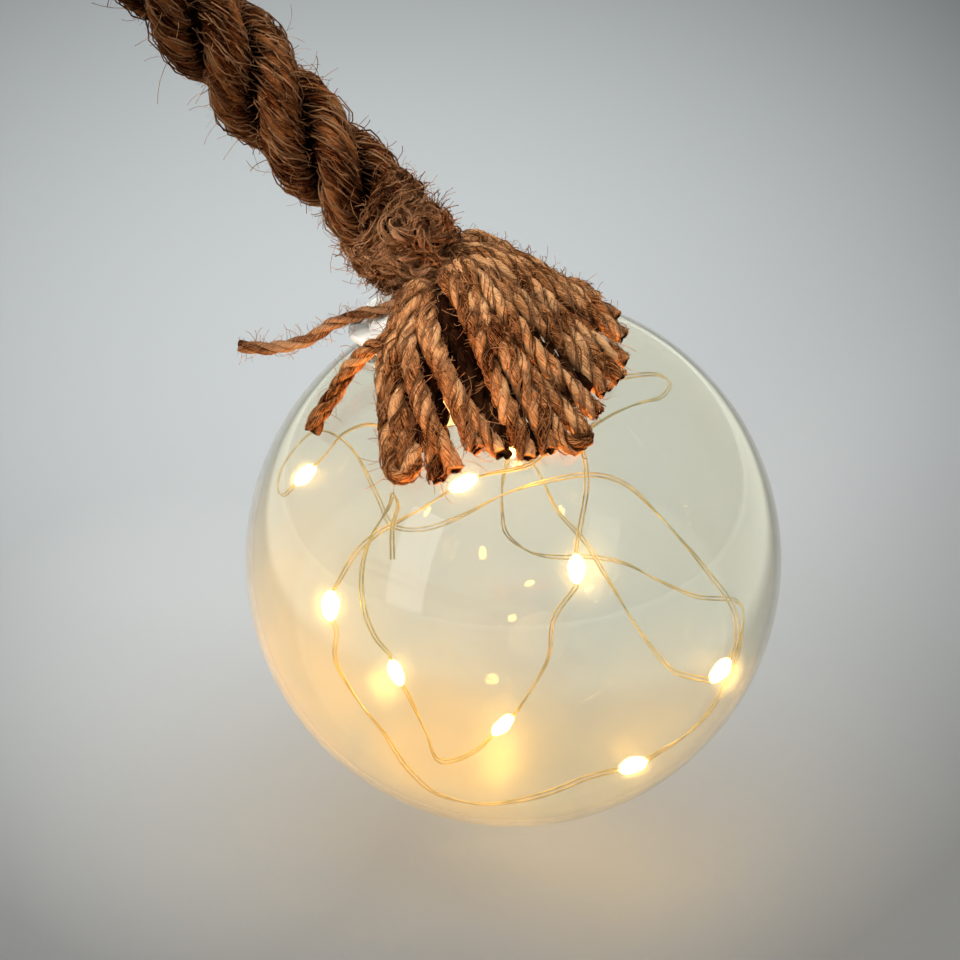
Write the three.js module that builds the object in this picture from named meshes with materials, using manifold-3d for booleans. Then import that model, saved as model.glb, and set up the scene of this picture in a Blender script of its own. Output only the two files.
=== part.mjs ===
// A hanging Christmas bauble of blown glass on a thick jute rope, with a string of warm lights inside it.
// Millimetres, +Z up. The origin is the inside of the hanging loop's crown, where a hook bears.
// The ball leans on the table as photographed, and the rope rises from its neck to the upper left.
import * as THREE from "three";
import { mergeVertices } from "three/addons/utils/BufferGeometryUtils.js";
import Module from "manifold-3d";

const wasm = await Module();
wasm.setup();

// Clearance between pieces that touch on the real object, and the edge taken off moulded plastic
const GAP = 0.3;
const EDGE = 0.4;

// Glass ball and its open neck
const BALL_RADIUS = 50;
const GLASS_WALL = 1.2;
const COLLAR_WALL = 1.3;
const COLLAR_RISE = 3.6;
const COLLAR_FILLET = 2;
const NECK_LEAN = 16.5;

// Coin cells and the stepped plastic cup that holds them in the neck
const CELL_RADIUS = 10;
const CELL_HEIGHT = 3.2;
const CELL_EDGE = 0.3;
const CAP_HEIGHT = 0.4;
const CAP_SHARE = 0.87;
const CUP_WALL = 1.7;
const MOUTH_STEP = 0.9;
const MOUTH_WALL = 1.6;
const MOUTH_DEPTH = 6.3;
const SHOULDER_DEPTH = 8.2;
const FLOOR_THICKNESS = 1.5;
const NECK_FIT = 0.8;
const FLANGE_OVERHANG = 0.6;
const FLANGE_THICKNESS = 1.6;

// Rubber ring that grips the neck, in a groove round the cup
const RING_SECTION = 0.5;
const RING_DEPTH = 5.6;

// Circuit board and the conical contact spring on it
const BOARD_THICKNESS = 1;
const SPRING_WIRE = 0.8;
const SPRING_HEIGHT = 2.8;
const SPRING_TURNS = 2.5;
const SPRING_BASE_RADIUS = 7;
const SPRING_TOP_RADIUS = 3.4;

// Strip that takes the current from the upper cell's can down a groove in the cup's wall to the board
const STRIP_THICKNESS = 0.4;
const STRIP_WIDTH = 3;
const STRIP_FOOT = 2.4;
const STRIP_AZIMUTH = 80;

// Lid that turns in the cup's mouth, with two lugs, and the ball-headed post that the rope is tied to
const LID_OVERHANG = 0.8;
const LID_THICKNESS = 1.4;
const LID_DOME = 0.8;
const STUB_WALL = 1.4;
const LUG_REACH = 0.8;
const LUG_HEIGHT = 1.4;
const LUG_WIDTH_ANGLE = 18;
const LUG_DEPTH = 2.4;
const LOCK_ANGLE = 30;
const DISC_THICKNESS = 0.5;
const DISC_RADIUS = 6;
const DISC_DIMPLE = 0.15;
const BOSS_INSET = 1;
const POST_RADIUS = 1.7;
const POST_HEIGHT = 10.3;
const HEAD_RADIUS = 3;

// Switch slider in its slot in the flange
const SLIDER_LENGTH = 3.6;
const SLIDER_WIDTH = 1.8;
const SLIDER_PROUD = 0.9;
const SLIDER_TRAVEL = 2;
const SLOT_DEPTH = 1;
const SWITCH_AZIMUTH = -100;

// Jute rope, its binding and its yarn ends, which arch over the lid before they lie on the ball
const ROPE_RADIUS = 8.7;
const ROPE_LEAN = 40;
const YARN_RADIUS = 1.7;
const STRAY_RADIUS = 1.45;
const ARCH_ROOM = 1;
const ARCH_PAST_LID = 0.8;
const ARCH_PAST_FLANGE = 3.8;
const ARCH_DROP = 0.4;
const TWINE_RADIUS = 1;
const TAIL_RADIUS = 1.15;
const WHIPPING_GAP = 0.5;
const WHIPPING_INSET = 0.8;
const BINDING_LENGTH = 13;
const HEAD_IN_BINDING = 2.5;
const END_WHIPPING_LENGTH = 11;
const LOOP_RADIUS = 1.5;

// String of lights
const WIRE_RADIUS = 0.45;
const LIGHT_RADIUS = 1.5;
const LIGHT_LENGTH = 5.4;
const LEAD_DROP = 3;
const WIRE_STEP = 5;

// The light string's routes below were laid out by eye inside a ball of this inner radius
const ROUTE_RADIUS = 48.8;

// Heights on the neck's axis, from the ball's centre, and radii round it
const cupRadius = CELL_RADIUS + GAP;
const mouthRadius = cupRadius + MOUTH_STEP;
const plugRadius = mouthRadius + MOUTH_WALL;
const boreRadius = plugRadius + NECK_FIT;
const collarRadius = boreRadius + COLLAR_WALL;
const cupOutside = cupRadius + CUP_WALL;
const flangeRadius = collarRadius + FLANGE_OVERHANG;
const innerRadius = BALL_RADIUS - GLASS_WALL;
const collarTop = Math.sqrt(BALL_RADIUS ** 2 - collarRadius ** 2) + COLLAR_RISE;
const flangeBottom = collarTop + GAP;
const flangeTop = flangeBottom + FLANGE_THICKNESS;
const shoulderBottom = flangeTop - SHOULDER_DEPTH;
const mouthFloor = flangeTop - MOUTH_DEPTH;
const upperCellTop = mouthFloor - GAP;
const upperCellBottom = upperCellTop - CELL_HEIGHT;
const lowerCellTop = upperCellBottom - GAP;
const lowerCellBottom = lowerCellTop - CELL_HEIGHT;
const springTop = lowerCellBottom - GAP;
const springBottom = springTop - SPRING_HEIGHT;
const boardTop = springBottom - GAP;
const boardBottom = boardTop - BOARD_THICKNESS;
const floorTop = boardBottom - GAP;
const floorBottom = floorTop - FLOOR_THICKNESS;
const lidBottom = flangeTop + GAP;
const lidTop = lidBottom + LID_THICKNESS;
const lidRadius = mouthRadius + LID_OVERHANG;
const stubRadius = mouthRadius - GAP;
const lugTop = flangeTop - LUG_DEPTH;
const headHeight = lidTop + POST_HEIGHT - HEAD_RADIUS;
const leadHole = WIRE_RADIUS + GAP;
const grooveDepth = STRIP_THICKNESS + 2 * GAP;

const degrees = THREE.MathUtils.degToRad;
const degreesOf = (length, radius) => THREE.MathUtils.radToDeg(length / radius);

// The slider runs in the ring of flange that the lid leaves bare
const sliderRadius = (lidRadius + flangeRadius) / 2;

// Directions in the ball's frame
const neckTurn = new THREE.Euler(0, -degrees(NECK_LEAN), 0);
const neckAxis = new THREE.Vector3(0, 0, 1).applyEuler(neckTurn);
const ropeAxis = new THREE.Vector3(-Math.sin(degrees(ROPE_LEAN)), 0, Math.cos(degrees(ROPE_LEAN)));

// The rope's centreline from the top of the binding, along the photographed rope
const ROPE_ROUTE = [
  [0, 0, 0], [-3.9, 0.1, 4.7], [-7.8, 0.2, 9.5], [-12.1, 0.3, 13.7], [-16.3, 0.3, 18.1],
  [-19.9, 0.2, 22.8], [-23.3, 0.1, 27.7], [-27, 0, 32], [-30.7, -0.1, 36.1], [-34, -0.2, 40.5],
  [-37.2, -0.2, 44.9], [-40.4, -0.2, 49.2], [-43.6, -0.1, 53.5], [-46.7, 0, 57.9], [-49.7, 0, 62.3],
  [-52.6, 0, 66.6], [-55.5, 0, 70.9], [-58.4, 0, 75.2],
];

// The hanging loop's centreline: across the rope's end and along it, from its end face
const LOOP_ROUTE = [
  [-2.6, 0], [-3, 4], [-5.6, 11], [-8.9, 18], [-8.9, 25], [-5, 30],
  [0, 31.5], [5, 30], [8.9, 25], [8.9, 18], [5.6, 11], [3, 4], [2.6, 0],
];

// The binding's loose tail, from the foot of the binding
const TAIL_ROUTE = [
  [-6, -6.6, -5], [-8, -6.6, -5.8], [-10.6, -6.3, -6.4], [-13.3, -6, -7.4], [-16.8, -5.7, -8.8],
  [-20, -5.4, -11.3], [-24.2, -5.2, -12.9], [-28.3, -4.8, -13.5], [-32.9, -4.4, -13.3],
];

// Each yarn end: its turn round the neck over the lid, past the flange and at the tip (0 faces the
// front, 90 the right), the tip's angle from the neck's axis, and how far it rides over its neighbours
const YARN_ENDS = [
  [-15, -29, -18, 42, 0], [-9, -21, -12, 44, 1.5], [-5, -14, -4, 46.3, 0], [0, -7, 0, 45.5, 1.8],
  [4, 0, 6, 42, 0], [8, 7, 12, 43.5, 1.2], [14, 14, 17, 45.5, 0], [20, 21, 22, 46.6, 1.8],
  [27, 28, 28, 46.6, 0], [34, 35, 34, 47.2, 1], [42, 43, 41, 46.5, 1.8], [50, 51, 49, 43.5, 0],
  [58, 59, 56, 43.5, 1], [67, 68, 64, 42, 0], [76, 78, 75, 39, 0.6], [88, 90, 87, 36.8, 0],
  [102, 104, 100, 34, 0.6], [118, 120, 113, 34.5, 0], [134, 136, 130, 32.5, 0.8], [151, 153, 147, 34, 0],
  [169, 171, 166, 33, 0.8], [184, 184, 182, 35, 0], [198, 196, 195, 34, 0.6],
];

// The yarn end that strays to the left over the ball's shoulder: its turn over the lid, then its turn
// round the neck, its angle from the neck's axis and its height over where it would touch the ball
const STRAY_YARN_TURN = -8;
const STRAY_YARN = [
  [-18, 18, 6.3], [-34, 19, 4.9], [-46.7, 21.4, 2.8], [-51.8, 25, 1.4], [-53.5, 28.4, 0.6],
  [-55.6, 32.2, 0.2], [-55.8, 35.3, 0],
];

// Routes of the light string in the ball's frame, from light to light, each by the light that ends it
const STRING_ROUTES = {
  light_01: [[-14, 2, 25], [-20, -7, 27], [-25, -11, 32], [-30, -13, 31], [-33, -15, 28], [-37, -15, 24]],
  light_02: [
    [-41, -13, 19], [-43, -4, 17], [-42, 3, 19], [-37, 12, 21], [-31, 19, 14], [-26, 16, 5],
    [-23, 8, 3], [-17, 0, 6], [-10, -3, 10], [-1, -3, 15], [7, -4, 18], [14, -6, 20],
    [20, -8, 19], [26, -13, 15], [33, -17, 8], [39, -19, 0], [40, -20, -7], [37, -23, -11],
  ],
  light_03: [
    [35, -23, -13], [31, -23, -12], [28, -22, -11], [23, -11, -9], [18, 1, -5], [14, 11, -2],
    [9, 18, 1], [6, 22, 6], [4, 22, 13],
  ],
  light_04: [
    [9, 21, 22], [18, 19, 28], [26, 13, 32], [29, 9, 32], [27, 4, 31], [23, -1, 32],
    [17, -7, 32], [11, -14, 31], [5, -19, 30], [2, -22, 29], [-4, -25, 29], [-9, -27, 28],
  ],
  light_05: [
    [-15, -27, 24], [-20, -25, 20], [-24, -24, 17], [-28, -24, 13], [-31, -28, 9], [-32, -30, 6],
  ],
  light_06: [
    [-31, -32, 2], [-31, -34, -3], [-27, -36, -10], [-23, -37, -15], [-19, -36, -23], [-14, -32, -31],
    [-7, -31, -34], [-1, -32, -33], [6, -35, -29], [13, -36, -25], [21, -34, -24],
  ],
  light_07: [
    [25, -33, -22], [30, -28, -22], [35, -22, -21], [40, -14, -18], [43, -7, -13], [43, -1, -9],
    [36, 9, -13], [29, 18, -14], [23, 25, -14], [16, 28, -14], [10, 26, -13], [4, 20, -9],
    [-1, 14, -2], [-2, 8, 6], [-2, 2, 15], [0, -3, 24],
  ],
  light_08: [
    [4, -5, 29], [9, -5, 29], [12, -6, 26], [13, -9, 20], [12, -14, 15], [11, -17, 11], [11, -20, 8],
  ],
  light_09: [[11, -21, 5], [7, -22, -1], [6, -21, -10], [2, -20, -19], [0, -19, -23], [-2, -19, -25]],
  light_10: [[-6, -20, -29], [-10, -21, -31], [-14, -23, -30], [-16, -25, -23], [-19, -28, -13], [-21, -29, -8]],
  string_tail: [
    [-22, -28, -5], [-25, -26, -2], [-27, -23, 3], [-27, -20, 9], [-25, -20, 15], [-22, -24, 22],
    [-21, -27, 26], [-20, -30, 25], [-21, -31, 22], [-21, -34, 17],
  ],
};

const vector = ([x, y, z]) => new THREE.Vector3(x, y, z);
const smooth = (points) => new THREE.CatmullRomCurve3(points, false, "centripetal");

// A regular outline, for the section of a tube
function sectionOf(radius, sides) {
  const outline = new THREE.Shape();
  for (let i = 0; i < sides; i++) {
    const turn = (2 * Math.PI * i) / sides;
    const corner = [radius * Math.cos(turn), radius * Math.sin(turn)];
    if (i === 0) outline.moveTo(...corner);
    else outline.lineTo(...corner);
  }
  outline.closePath();
  return outline;
}

function tubeAlong(curve, radius, sides, steps) {
  const settings = { steps, extrudePath: curve, bevelEnabled: false };
  return new THREE.ExtrudeGeometry(sectionOf(radius, sides), settings);
}

// A solid of revolution about Z from a profile of [radius, height] points
function revolve(profile, segments) {
  const points = profile.map(([radius, height]) => new THREE.Vector2(Math.max(radius, 0), height));
  const made = new THREE.LatheGeometry(points, segments);
  made.rotateX(Math.PI / 2);
  return made;
}

// A point round the neck's axis: 0 degrees faces the front, 90 degrees the right
function roundNeck(radius, turn, height) {
  const angle = degrees(turn);
  return new THREE.Vector3(radius * Math.sin(angle), -radius * Math.cos(angle), height);
}

// Points of an arc from one angle to another, ends included
function arcPoints(centre, radius, from, to, steps) {
  const points = [];
  for (let i = 0; i <= steps; i++) {
    const angle = from + ((to - from) * i) / steps;
    points.push([centre[0] + radius * Math.cos(angle), centre[1] + radius * Math.sin(angle)]);
  }
  return points;
}

function bare(geometry) {
  const plain = geometry.index ? geometry.toNonIndexed() : geometry.clone();
  for (const name of Object.keys(plain.attributes)) {
    if (name !== "position") plain.deleteAttribute(name);
  }
  return mergeVertices(plain, 1e-4);
}

function toSolid(geometry) {
  const merged = bare(geometry);
  return new wasm.Manifold(
    new wasm.Mesh({
      numProp: 3,
      vertProperties: new Float32Array(merged.attributes.position.array),
      triVerts: new Uint32Array(merged.index.array),
    }),
  );
}

function toGeometry(solid) {
  const mesh = solid.getMesh();
  const made = new THREE.BufferGeometry();
  made.setAttribute("position", new THREE.BufferAttribute(new Float32Array(mesh.vertProperties), 3));
  made.setIndex(new THREE.BufferAttribute(new Uint32Array(mesh.triVerts), 1));
  made.computeVertexNormals();
  return made;
}

// A sector of a ring about Z, swept up from the bottom height to the top height
function ringSector(inside, outside, fromTurn, toTurn, bottom, top) {
  const from = degrees(fromTurn - 90);
  const to = degrees(toTurn - 90);
  const outline = new THREE.Shape();
  outline.absarc(0, 0, outside, from, to, false);
  outline.absarc(0, 0, inside, to, from, true);
  outline.closePath();
  const made = new THREE.ExtrudeGeometry(outline, {
    depth: top - bottom,
    steps: 1,
    curveSegments: 8,
    bevelEnabled: false,
  });
  made.translate(0, 0, bottom);
  return made;
}

const finish = (color, roughness, metalness = 0, more = {}) =>
  new THREE.MeshStandardMaterial({ color, roughness, metalness, ...more });

const materials = {
  glass: finish(0xe4e8d2, 0.04, 0, { transparent: true, opacity: 0.35 }),
  whitePlastic: finish(0xeeece4, 0.45),
  rubber: finish(0x2a2a2a, 0.8),
  steel: finish(0xb9bcc0, 0.3, 1),
  board: finish(0x2f6a3c, 0.6),
  light: finish(0xffe2a8, 0.35, 0, { emissive: 0xffb45a }),
  wire: finish(0x9a8a4c, 0.4, 1),
  jute: finish(0x9a6b3c, 0.95),
  twine: finish(0xa67a4a, 0.95),
  slider: finish(0x3b3d40, 0.5),
};

const named = (name, geometry, material) => {
  const mesh = new THREE.Mesh(geometry, material);
  mesh.name = name;
  return mesh;
};

// Blown shell: outside from the south pole up to the collar, over the lip and back down the inside
function glassBall() {
  const outerStart = Math.acos((collarRadius + COLLAR_FILLET) / BALL_RADIUS);
  const innerStart = Math.acos((boreRadius + COLLAR_FILLET) / innerRadius);
  const lip = COLLAR_WALL / 2;
  const outerFoot = [BALL_RADIUS * Math.cos(outerStart), BALL_RADIUS * Math.sin(outerStart)];
  const innerFoot = [innerRadius * Math.cos(innerStart), innerRadius * Math.sin(innerStart)];
  const bend = (foot, radius) => {
    const tangentHeight = foot[1] + COLLAR_FILLET * (foot[0] / foot[1]);
    const curve = new THREE.QuadraticBezierCurve(
      new THREE.Vector2(...foot),
      new THREE.Vector2(radius, tangentHeight),
      new THREE.Vector2(radius, tangentHeight + COLLAR_FILLET / 2),
    );
    return curve.getPoints(3).map((point) => [point.x, point.y]);
  };
  const outside = arcPoints([0, 0], BALL_RADIUS, -Math.PI / 2, outerStart, 19);
  const inside = arcPoints([0, 0], innerRadius, innerStart, -Math.PI / 2, 15);
  const rim = arcPoints([boreRadius + lip, collarTop - lip], lip, 0, Math.PI, 4);
  const profile = [
    [0, -BALL_RADIUS],
    ...outside.slice(1),
    ...bend(outerFoot, collarRadius).slice(1),
    ...rim,
    ...bend(innerFoot, boreRadius).reverse(),
    ...inside.slice(1, -1),
    [0, -innerRadius],
  ];
  return revolve(profile, 46);
}

// Stepped cup: flange on the glass rim, thick mouth with the ring's groove, thin cup for the cells
function batteryHolder() {
  const grooveHalf = RING_SECTION + GAP;
  const grooveMiddle = flangeTop - RING_DEPTH;
  const grooveFloor = plugRadius - (2 * RING_SECTION - NECK_FIT + 2 * GAP);
  const cup = toSolid(
    revolve(
      [
        [leadHole, floorBottom],
        [cupOutside - 2 * EDGE, floorBottom],
        [cupOutside, floorBottom + 2 * EDGE],
        [cupOutside, shoulderBottom - (plugRadius - cupOutside)],
        [plugRadius, shoulderBottom],
        [plugRadius, grooveMiddle - grooveHalf],
        [grooveFloor, grooveMiddle - grooveHalf],
        [grooveFloor, grooveMiddle + grooveHalf],
        [plugRadius, grooveMiddle + grooveHalf],
        [plugRadius, flangeBottom],
        [flangeRadius - EDGE, flangeBottom],
        [flangeRadius, flangeBottom + EDGE],
        [flangeRadius, flangeTop - EDGE],
        [flangeRadius - EDGE, flangeTop],
        [mouthRadius, flangeTop],
        [mouthRadius, mouthFloor],
        [cupRadius, mouthFloor],
        [cupRadius, floorTop],
        [leadHole, floorTop],
        [leadHole, floorBottom],
      ],
      36,
    ),
  );
  const slotOutside = stubRadius + LUG_REACH + GAP;
  const slack = degreesOf(GAP, mouthRadius);
  let holder = cup;
  for (const side of [0, 180]) {
    const middle = side + 90;
    const half = LUG_WIDTH_ANGLE / 2 + slack;
    const run = ringSector(
      mouthRadius - GAP,
      slotOutside,
      middle - LOCK_ANGLE - half,
      middle + half,
      lugTop - LUG_HEIGHT - GAP,
      lugTop + GAP,
    );
    const entry = ringSector(
      mouthRadius - GAP,
      slotOutside,
      middle - LOCK_ANGLE - half,
      middle - LOCK_ANGLE + half,
      lugTop - LUG_HEIGHT,
      flangeTop + GAP,
    );
    holder = holder.subtract(toSolid(run)).subtract(toSolid(entry));
  }
  const slot = new THREE.BoxGeometry(
    SLIDER_WIDTH + 2 * GAP,
    SLIDER_LENGTH + SLIDER_TRAVEL + 2 * GAP,
    2 * SLOT_DEPTH,
  );
  slot.translate(sliderRadius, 0, flangeTop);
  slot.rotateZ(degrees(SWITCH_AZIMUTH - 90));
  const groove = new THREE.BoxGeometry(STRIP_WIDTH + 2 * GAP, grooveDepth + cupRadius, mouthFloor - floorTop);
  groove.translate(0, -(grooveDepth + cupRadius) / 2, (mouthFloor + floorTop) / 2);
  groove.rotateZ(degrees(STRIP_AZIMUTH));
  return toGeometry(holder.subtract(toSolid(slot)).subtract(toSolid(groove)));
}

// Side contact: a foot on the board's edge, a run up the groove, and a bow that bears on the upper can
function sideContact() {
  const back = cupRadius + grooveDepth - GAP;
  const face = back - STRIP_THICKNESS;
  const tip = CELL_RADIUS + GAP;
  const bowMiddle = (upperCellBottom + upperCellTop) / 2;
  const bowHalf = CELL_HEIGHT / 2;
  const foot = boardTop + GAP;
  const outline = new THREE.Shape();
  const points = [
    [back - STRIP_FOOT, foot],
    [back, foot],
    [back, bowMiddle - bowHalf],
    [tip + STRIP_THICKNESS, bowMiddle],
    [back, bowMiddle + bowHalf],
    [face, bowMiddle + bowHalf],
    [tip, bowMiddle],
    [face, bowMiddle - bowHalf],
    [face, foot + STRIP_THICKNESS],
    [back - STRIP_FOOT, foot + STRIP_THICKNESS],
  ];
  points.forEach(([across, up], i) => (i === 0 ? outline.moveTo(across, up) : outline.lineTo(across, up)));
  outline.closePath();
  const made = new THREE.ExtrudeGeometry(outline, { depth: STRIP_WIDTH, steps: 1, bevelEnabled: false });
  made.translate(0, 0, -STRIP_WIDTH / 2);
  made.rotateX(Math.PI / 2);
  made.rotateZ(degrees(STRIP_AZIMUTH - 90));
  return made;
}

// At rest the slider stands at the on end of its slot, as the photographed lights are lit
function switchSlider() {
  const knob = new THREE.Shape();
  const half = SLIDER_LENGTH / 2;
  const foot = flangeTop - SLOT_DEPTH + GAP;
  const top = flangeTop + SLIDER_PROUD;
  knob.moveTo(-half, foot);
  knob.lineTo(half, foot);
  knob.lineTo(half, flangeTop + SLIDER_PROUD / 3);
  const ribs = 3;
  for (let i = 0; i < ribs; i++) {
    const right = half - ((i + 0.25) * SLIDER_LENGTH) / ribs;
    const left = half - ((i + 0.75) * SLIDER_LENGTH) / ribs;
    knob.lineTo(right, top);
    knob.lineTo(left, top);
    knob.lineTo(half - ((i + 1) * SLIDER_LENGTH) / ribs, flangeTop + SLIDER_PROUD / 3);
  }
  knob.closePath();
  const made = new THREE.ExtrudeGeometry(knob, { depth: SLIDER_WIDTH, steps: 1, bevelEnabled: false });
  made.translate(0, 0, -SLIDER_WIDTH / 2);
  made.rotateX(Math.PI / 2);
  made.rotateZ(Math.PI / 2);
  made.translate(sliderRadius, -SLIDER_TRAVEL / 2, 0);
  made.rotateZ(degrees(SWITCH_AZIMUTH - 90));
  return made;
}

// Rubber ring of round section in the groove
function gripRing() {
  const outside = boreRadius - GAP;
  const made = new THREE.TorusGeometry(outside - RING_SECTION, RING_SECTION, 6, 36);
  made.translate(0, 0, flangeTop - RING_DEPTH);
  return made;
}

// Round board with a hole for the lead
function circuitBoard() {
  const inside = leadHole;
  const outside = cupRadius - GAP;
  const profile = [
    [inside, boardBottom],
    [outside, boardBottom],
    [outside, boardTop],
    [inside, boardTop],
    [inside, boardBottom],
  ];
  return revolve(profile, 32);
}

// Conical spring from the board up to the lower cell
function springPoints() {
  const points = [];
  const steps = Math.round(SPRING_TURNS * 12);
  const radius = SPRING_WIRE / 2;
  for (let i = 0; i <= steps; i++) {
    const share = i / steps;
    const turn = 2 * Math.PI * SPRING_TURNS * share;
    const reach = SPRING_BASE_RADIUS + (SPRING_TOP_RADIUS - SPRING_BASE_RADIUS) * share;
    const height = springBottom + radius + (SPRING_HEIGHT - 2 * radius) * share;
    points.push(new THREE.Vector3(reach * Math.cos(turn), reach * Math.sin(turn), height));
  }
  return points;
}

// Button cell: a can with a rounded edge and a smaller cap on its lower face
function coinCell(bottom) {
  const capRadius = CELL_RADIUS * CAP_SHARE;
  const canBottom = bottom + CAP_HEIGHT;
  const top = bottom + CELL_HEIGHT;
  const profile = [
    [0, bottom],
    [capRadius - CELL_EDGE, bottom],
    [capRadius, canBottom],
    [CELL_RADIUS - CELL_EDGE, canBottom],
    [CELL_RADIUS, canBottom + CELL_EDGE],
    [CELL_RADIUS, top - CELL_EDGE],
    [CELL_RADIUS - CELL_EDGE, top],
    [0, top],
  ];
  return revolve(profile, 28);
}

// Lid: domed cap over the flange, hollow stub with two lugs in the mouth, post with a ball head
function batteryLid() {
  const bossRadius = DISC_RADIUS - BOSS_INSET;
  const stubBottom = mouthFloor + GAP;
  const bossBottom = mouthFloor + DISC_THICKNESS + GAP;
  const postFillet = 1;
  const postTop = headHeight - Math.sqrt(HEAD_RADIUS ** 2 - POST_RADIUS ** 2);
  const dome = new THREE.QuadraticBezierCurve(
    new THREE.Vector2(lidRadius, lidTop - EDGE),
    new THREE.Vector2(lidRadius - 2 * LID_DOME, lidTop + LID_DOME / 2),
    new THREE.Vector2(POST_RADIUS + postFillet, lidTop + LID_DOME),
  );
  const headFrom = -Math.acos(POST_RADIUS / HEAD_RADIUS);
  const head = arcPoints([0, headHeight], HEAD_RADIUS, headFrom, Math.PI / 2, 7);
  const body = toSolid(
    revolve(
      [
        [0, bossBottom],
        [bossRadius, bossBottom],
        [bossRadius, lidBottom],
        [stubRadius - STUB_WALL, lidBottom],
        [stubRadius - STUB_WALL, stubBottom],
        [stubRadius, stubBottom],
        [stubRadius, lidBottom],
        [lidRadius, lidBottom],
        ...dome.getPoints(5).map((point) => [point.x, point.y]),
        [POST_RADIUS, lidTop + LID_DOME + postFillet],
        [POST_RADIUS, postTop],
        ...head.slice(1, -1),
        [0, headHeight + HEAD_RADIUS],
      ],
      28,
    ),
  );
  let lid = body;
  for (const side of [0, 180]) {
    const middle = side + 90;
    const half = LUG_WIDTH_ANGLE / 2;
    const lug = ringSector(
      stubRadius - STUB_WALL / 2,
      stubRadius + LUG_REACH,
      middle - half,
      middle + half,
      lugTop - LUG_HEIGHT,
      lugTop,
    );
    lid = lid.add(toSolid(lug));
  }
  return toGeometry(lid);
}

// Sprung disc under the lid's boss that presses the cells down, slit in the real one and plain here
function pressureDisc() {
  const dimple = DISC_RADIUS / 3;
  const profile = [
    [0, mouthFloor],
    [dimple, mouthFloor],
    [dimple + DISC_THICKNESS, mouthFloor + DISC_DIMPLE],
    [DISC_RADIUS, mouthFloor + DISC_DIMPLE],
    [DISC_RADIUS, mouthFloor + DISC_THICKNESS],
    [0, mouthFloor + DISC_THICKNESS],
  ];
  return revolve(profile, 28);
}

// Points of a winding about an axis, climbing a pitch each turn
function windingPoints(start, axis, coilRadius, length, tubeRadius, gap) {
  const pitch = 2 * tubeRadius + gap;
  const turns = (length - 2 * tubeRadius) / pitch;
  const across = new THREE.Vector3(0, 1, 0);
  const side = new THREE.Vector3().crossVectors(across, axis).normalize();
  const front = new THREE.Vector3().crossVectors(axis, side).normalize();
  const steps = Math.round(turns * 24);
  const points = [];
  for (let i = 0; i <= steps; i++) {
    const angle = (2 * Math.PI * turns * i) / steps;
    const point = start.clone().addScaledVector(axis, tubeRadius + (pitch * turns * i) / steps);
    point.addScaledVector(side, coilRadius * Math.cos(angle));
    point.addScaledVector(front, coilRadius * Math.sin(angle));
    points.push(point);
  }
  return points;
}

// The least clear distance of a wound tube to itself, between points over half a turn apart
function leastGap(points, tubeRadius, halfTurn) {
  let least = Infinity;
  points.forEach((point, i) => {
    for (let j = i + halfTurn; j < points.length; j++) {
      least = Math.min(least, point.distanceTo(points[j]) - 2 * tubeRadius);
    }
  });
  return least;
}

// Winding as one unbroken tube, with its least gap printed
function winding(name, points, tubeRadius, halfTurn) {
  console.log(`${name}: least gap to itself ${leastGap(points, tubeRadius, halfTurn).toFixed(2)} mm`);
  return tubeAlong(smooth(points), tubeRadius, 6, points.length - 1);
}

// Where the rope, its binding and its loop lie, in the ball's frame
const headCentre = neckAxis.clone().multiplyScalar(headHeight);
const bindingStart = headCentre.clone().addScaledVector(ropeAxis, -HEAD_IN_BINDING);
const bindingEnd = bindingStart.clone().addScaledVector(ropeAxis, BINDING_LENGTH);
const ropeStart = bindingEnd.clone().addScaledVector(ropeAxis, GAP);
const ropePoints = ROPE_ROUTE.map((point) => vector(point).add(ropeStart));
const ropeEnd = ropePoints[ropePoints.length - 1];
const endAxis = ropeEnd.clone().sub(ropePoints[ropePoints.length - 3]).normalize();
const endAcross = new THREE.Vector3(endAxis.z, 0, -endAxis.x);
const loopFoot = ropeEnd.clone().addScaledVector(endAxis, GAP);
const loopRise = Math.max(...LOOP_ROUTE.map(([, along]) => along));
const loopCrown = loopFoot.clone().addScaledVector(endAxis, loopRise - LOOP_RADIUS);
const bundleHollow = HEAD_RADIUS + GAP;
const bundleRing = bundleHollow + YARN_RADIUS;
const bundleRadius = bundleRing + YARN_RADIUS;

const roundRope = (angle, radius, along) => {
  const side = new THREE.Vector3(ropeAxis.z, 0, -ropeAxis.x);
  const front = new THREE.Vector3(0, -1, 0);
  return bindingStart
    .clone()
    .addScaledVector(ropeAxis, along)
    .addScaledVector(side, radius * Math.sin(degrees(angle)))
    .addScaledVector(front, radius * Math.cos(degrees(angle)));
};

// The bound bundle of yarns round the post's head, turned into the rope's direction
function yarnBundle() {
  const hollowTop = HEAD_IN_BINDING + HEAD_RADIUS + GAP;
  const profile = [
    [bundleHollow, 0],
    [bundleRadius, 0],
    [bundleRadius, BINDING_LENGTH],
    [0, BINDING_LENGTH],
    [0, hollowTop],
    [bundleHollow, hollowTop],
    [bundleHollow, 0],
  ];
  const made = revolve(profile, 20);
  made.rotateY(-degrees(ROPE_LEAN));
  made.translate(...bindingStart);
  return made;
}

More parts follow.
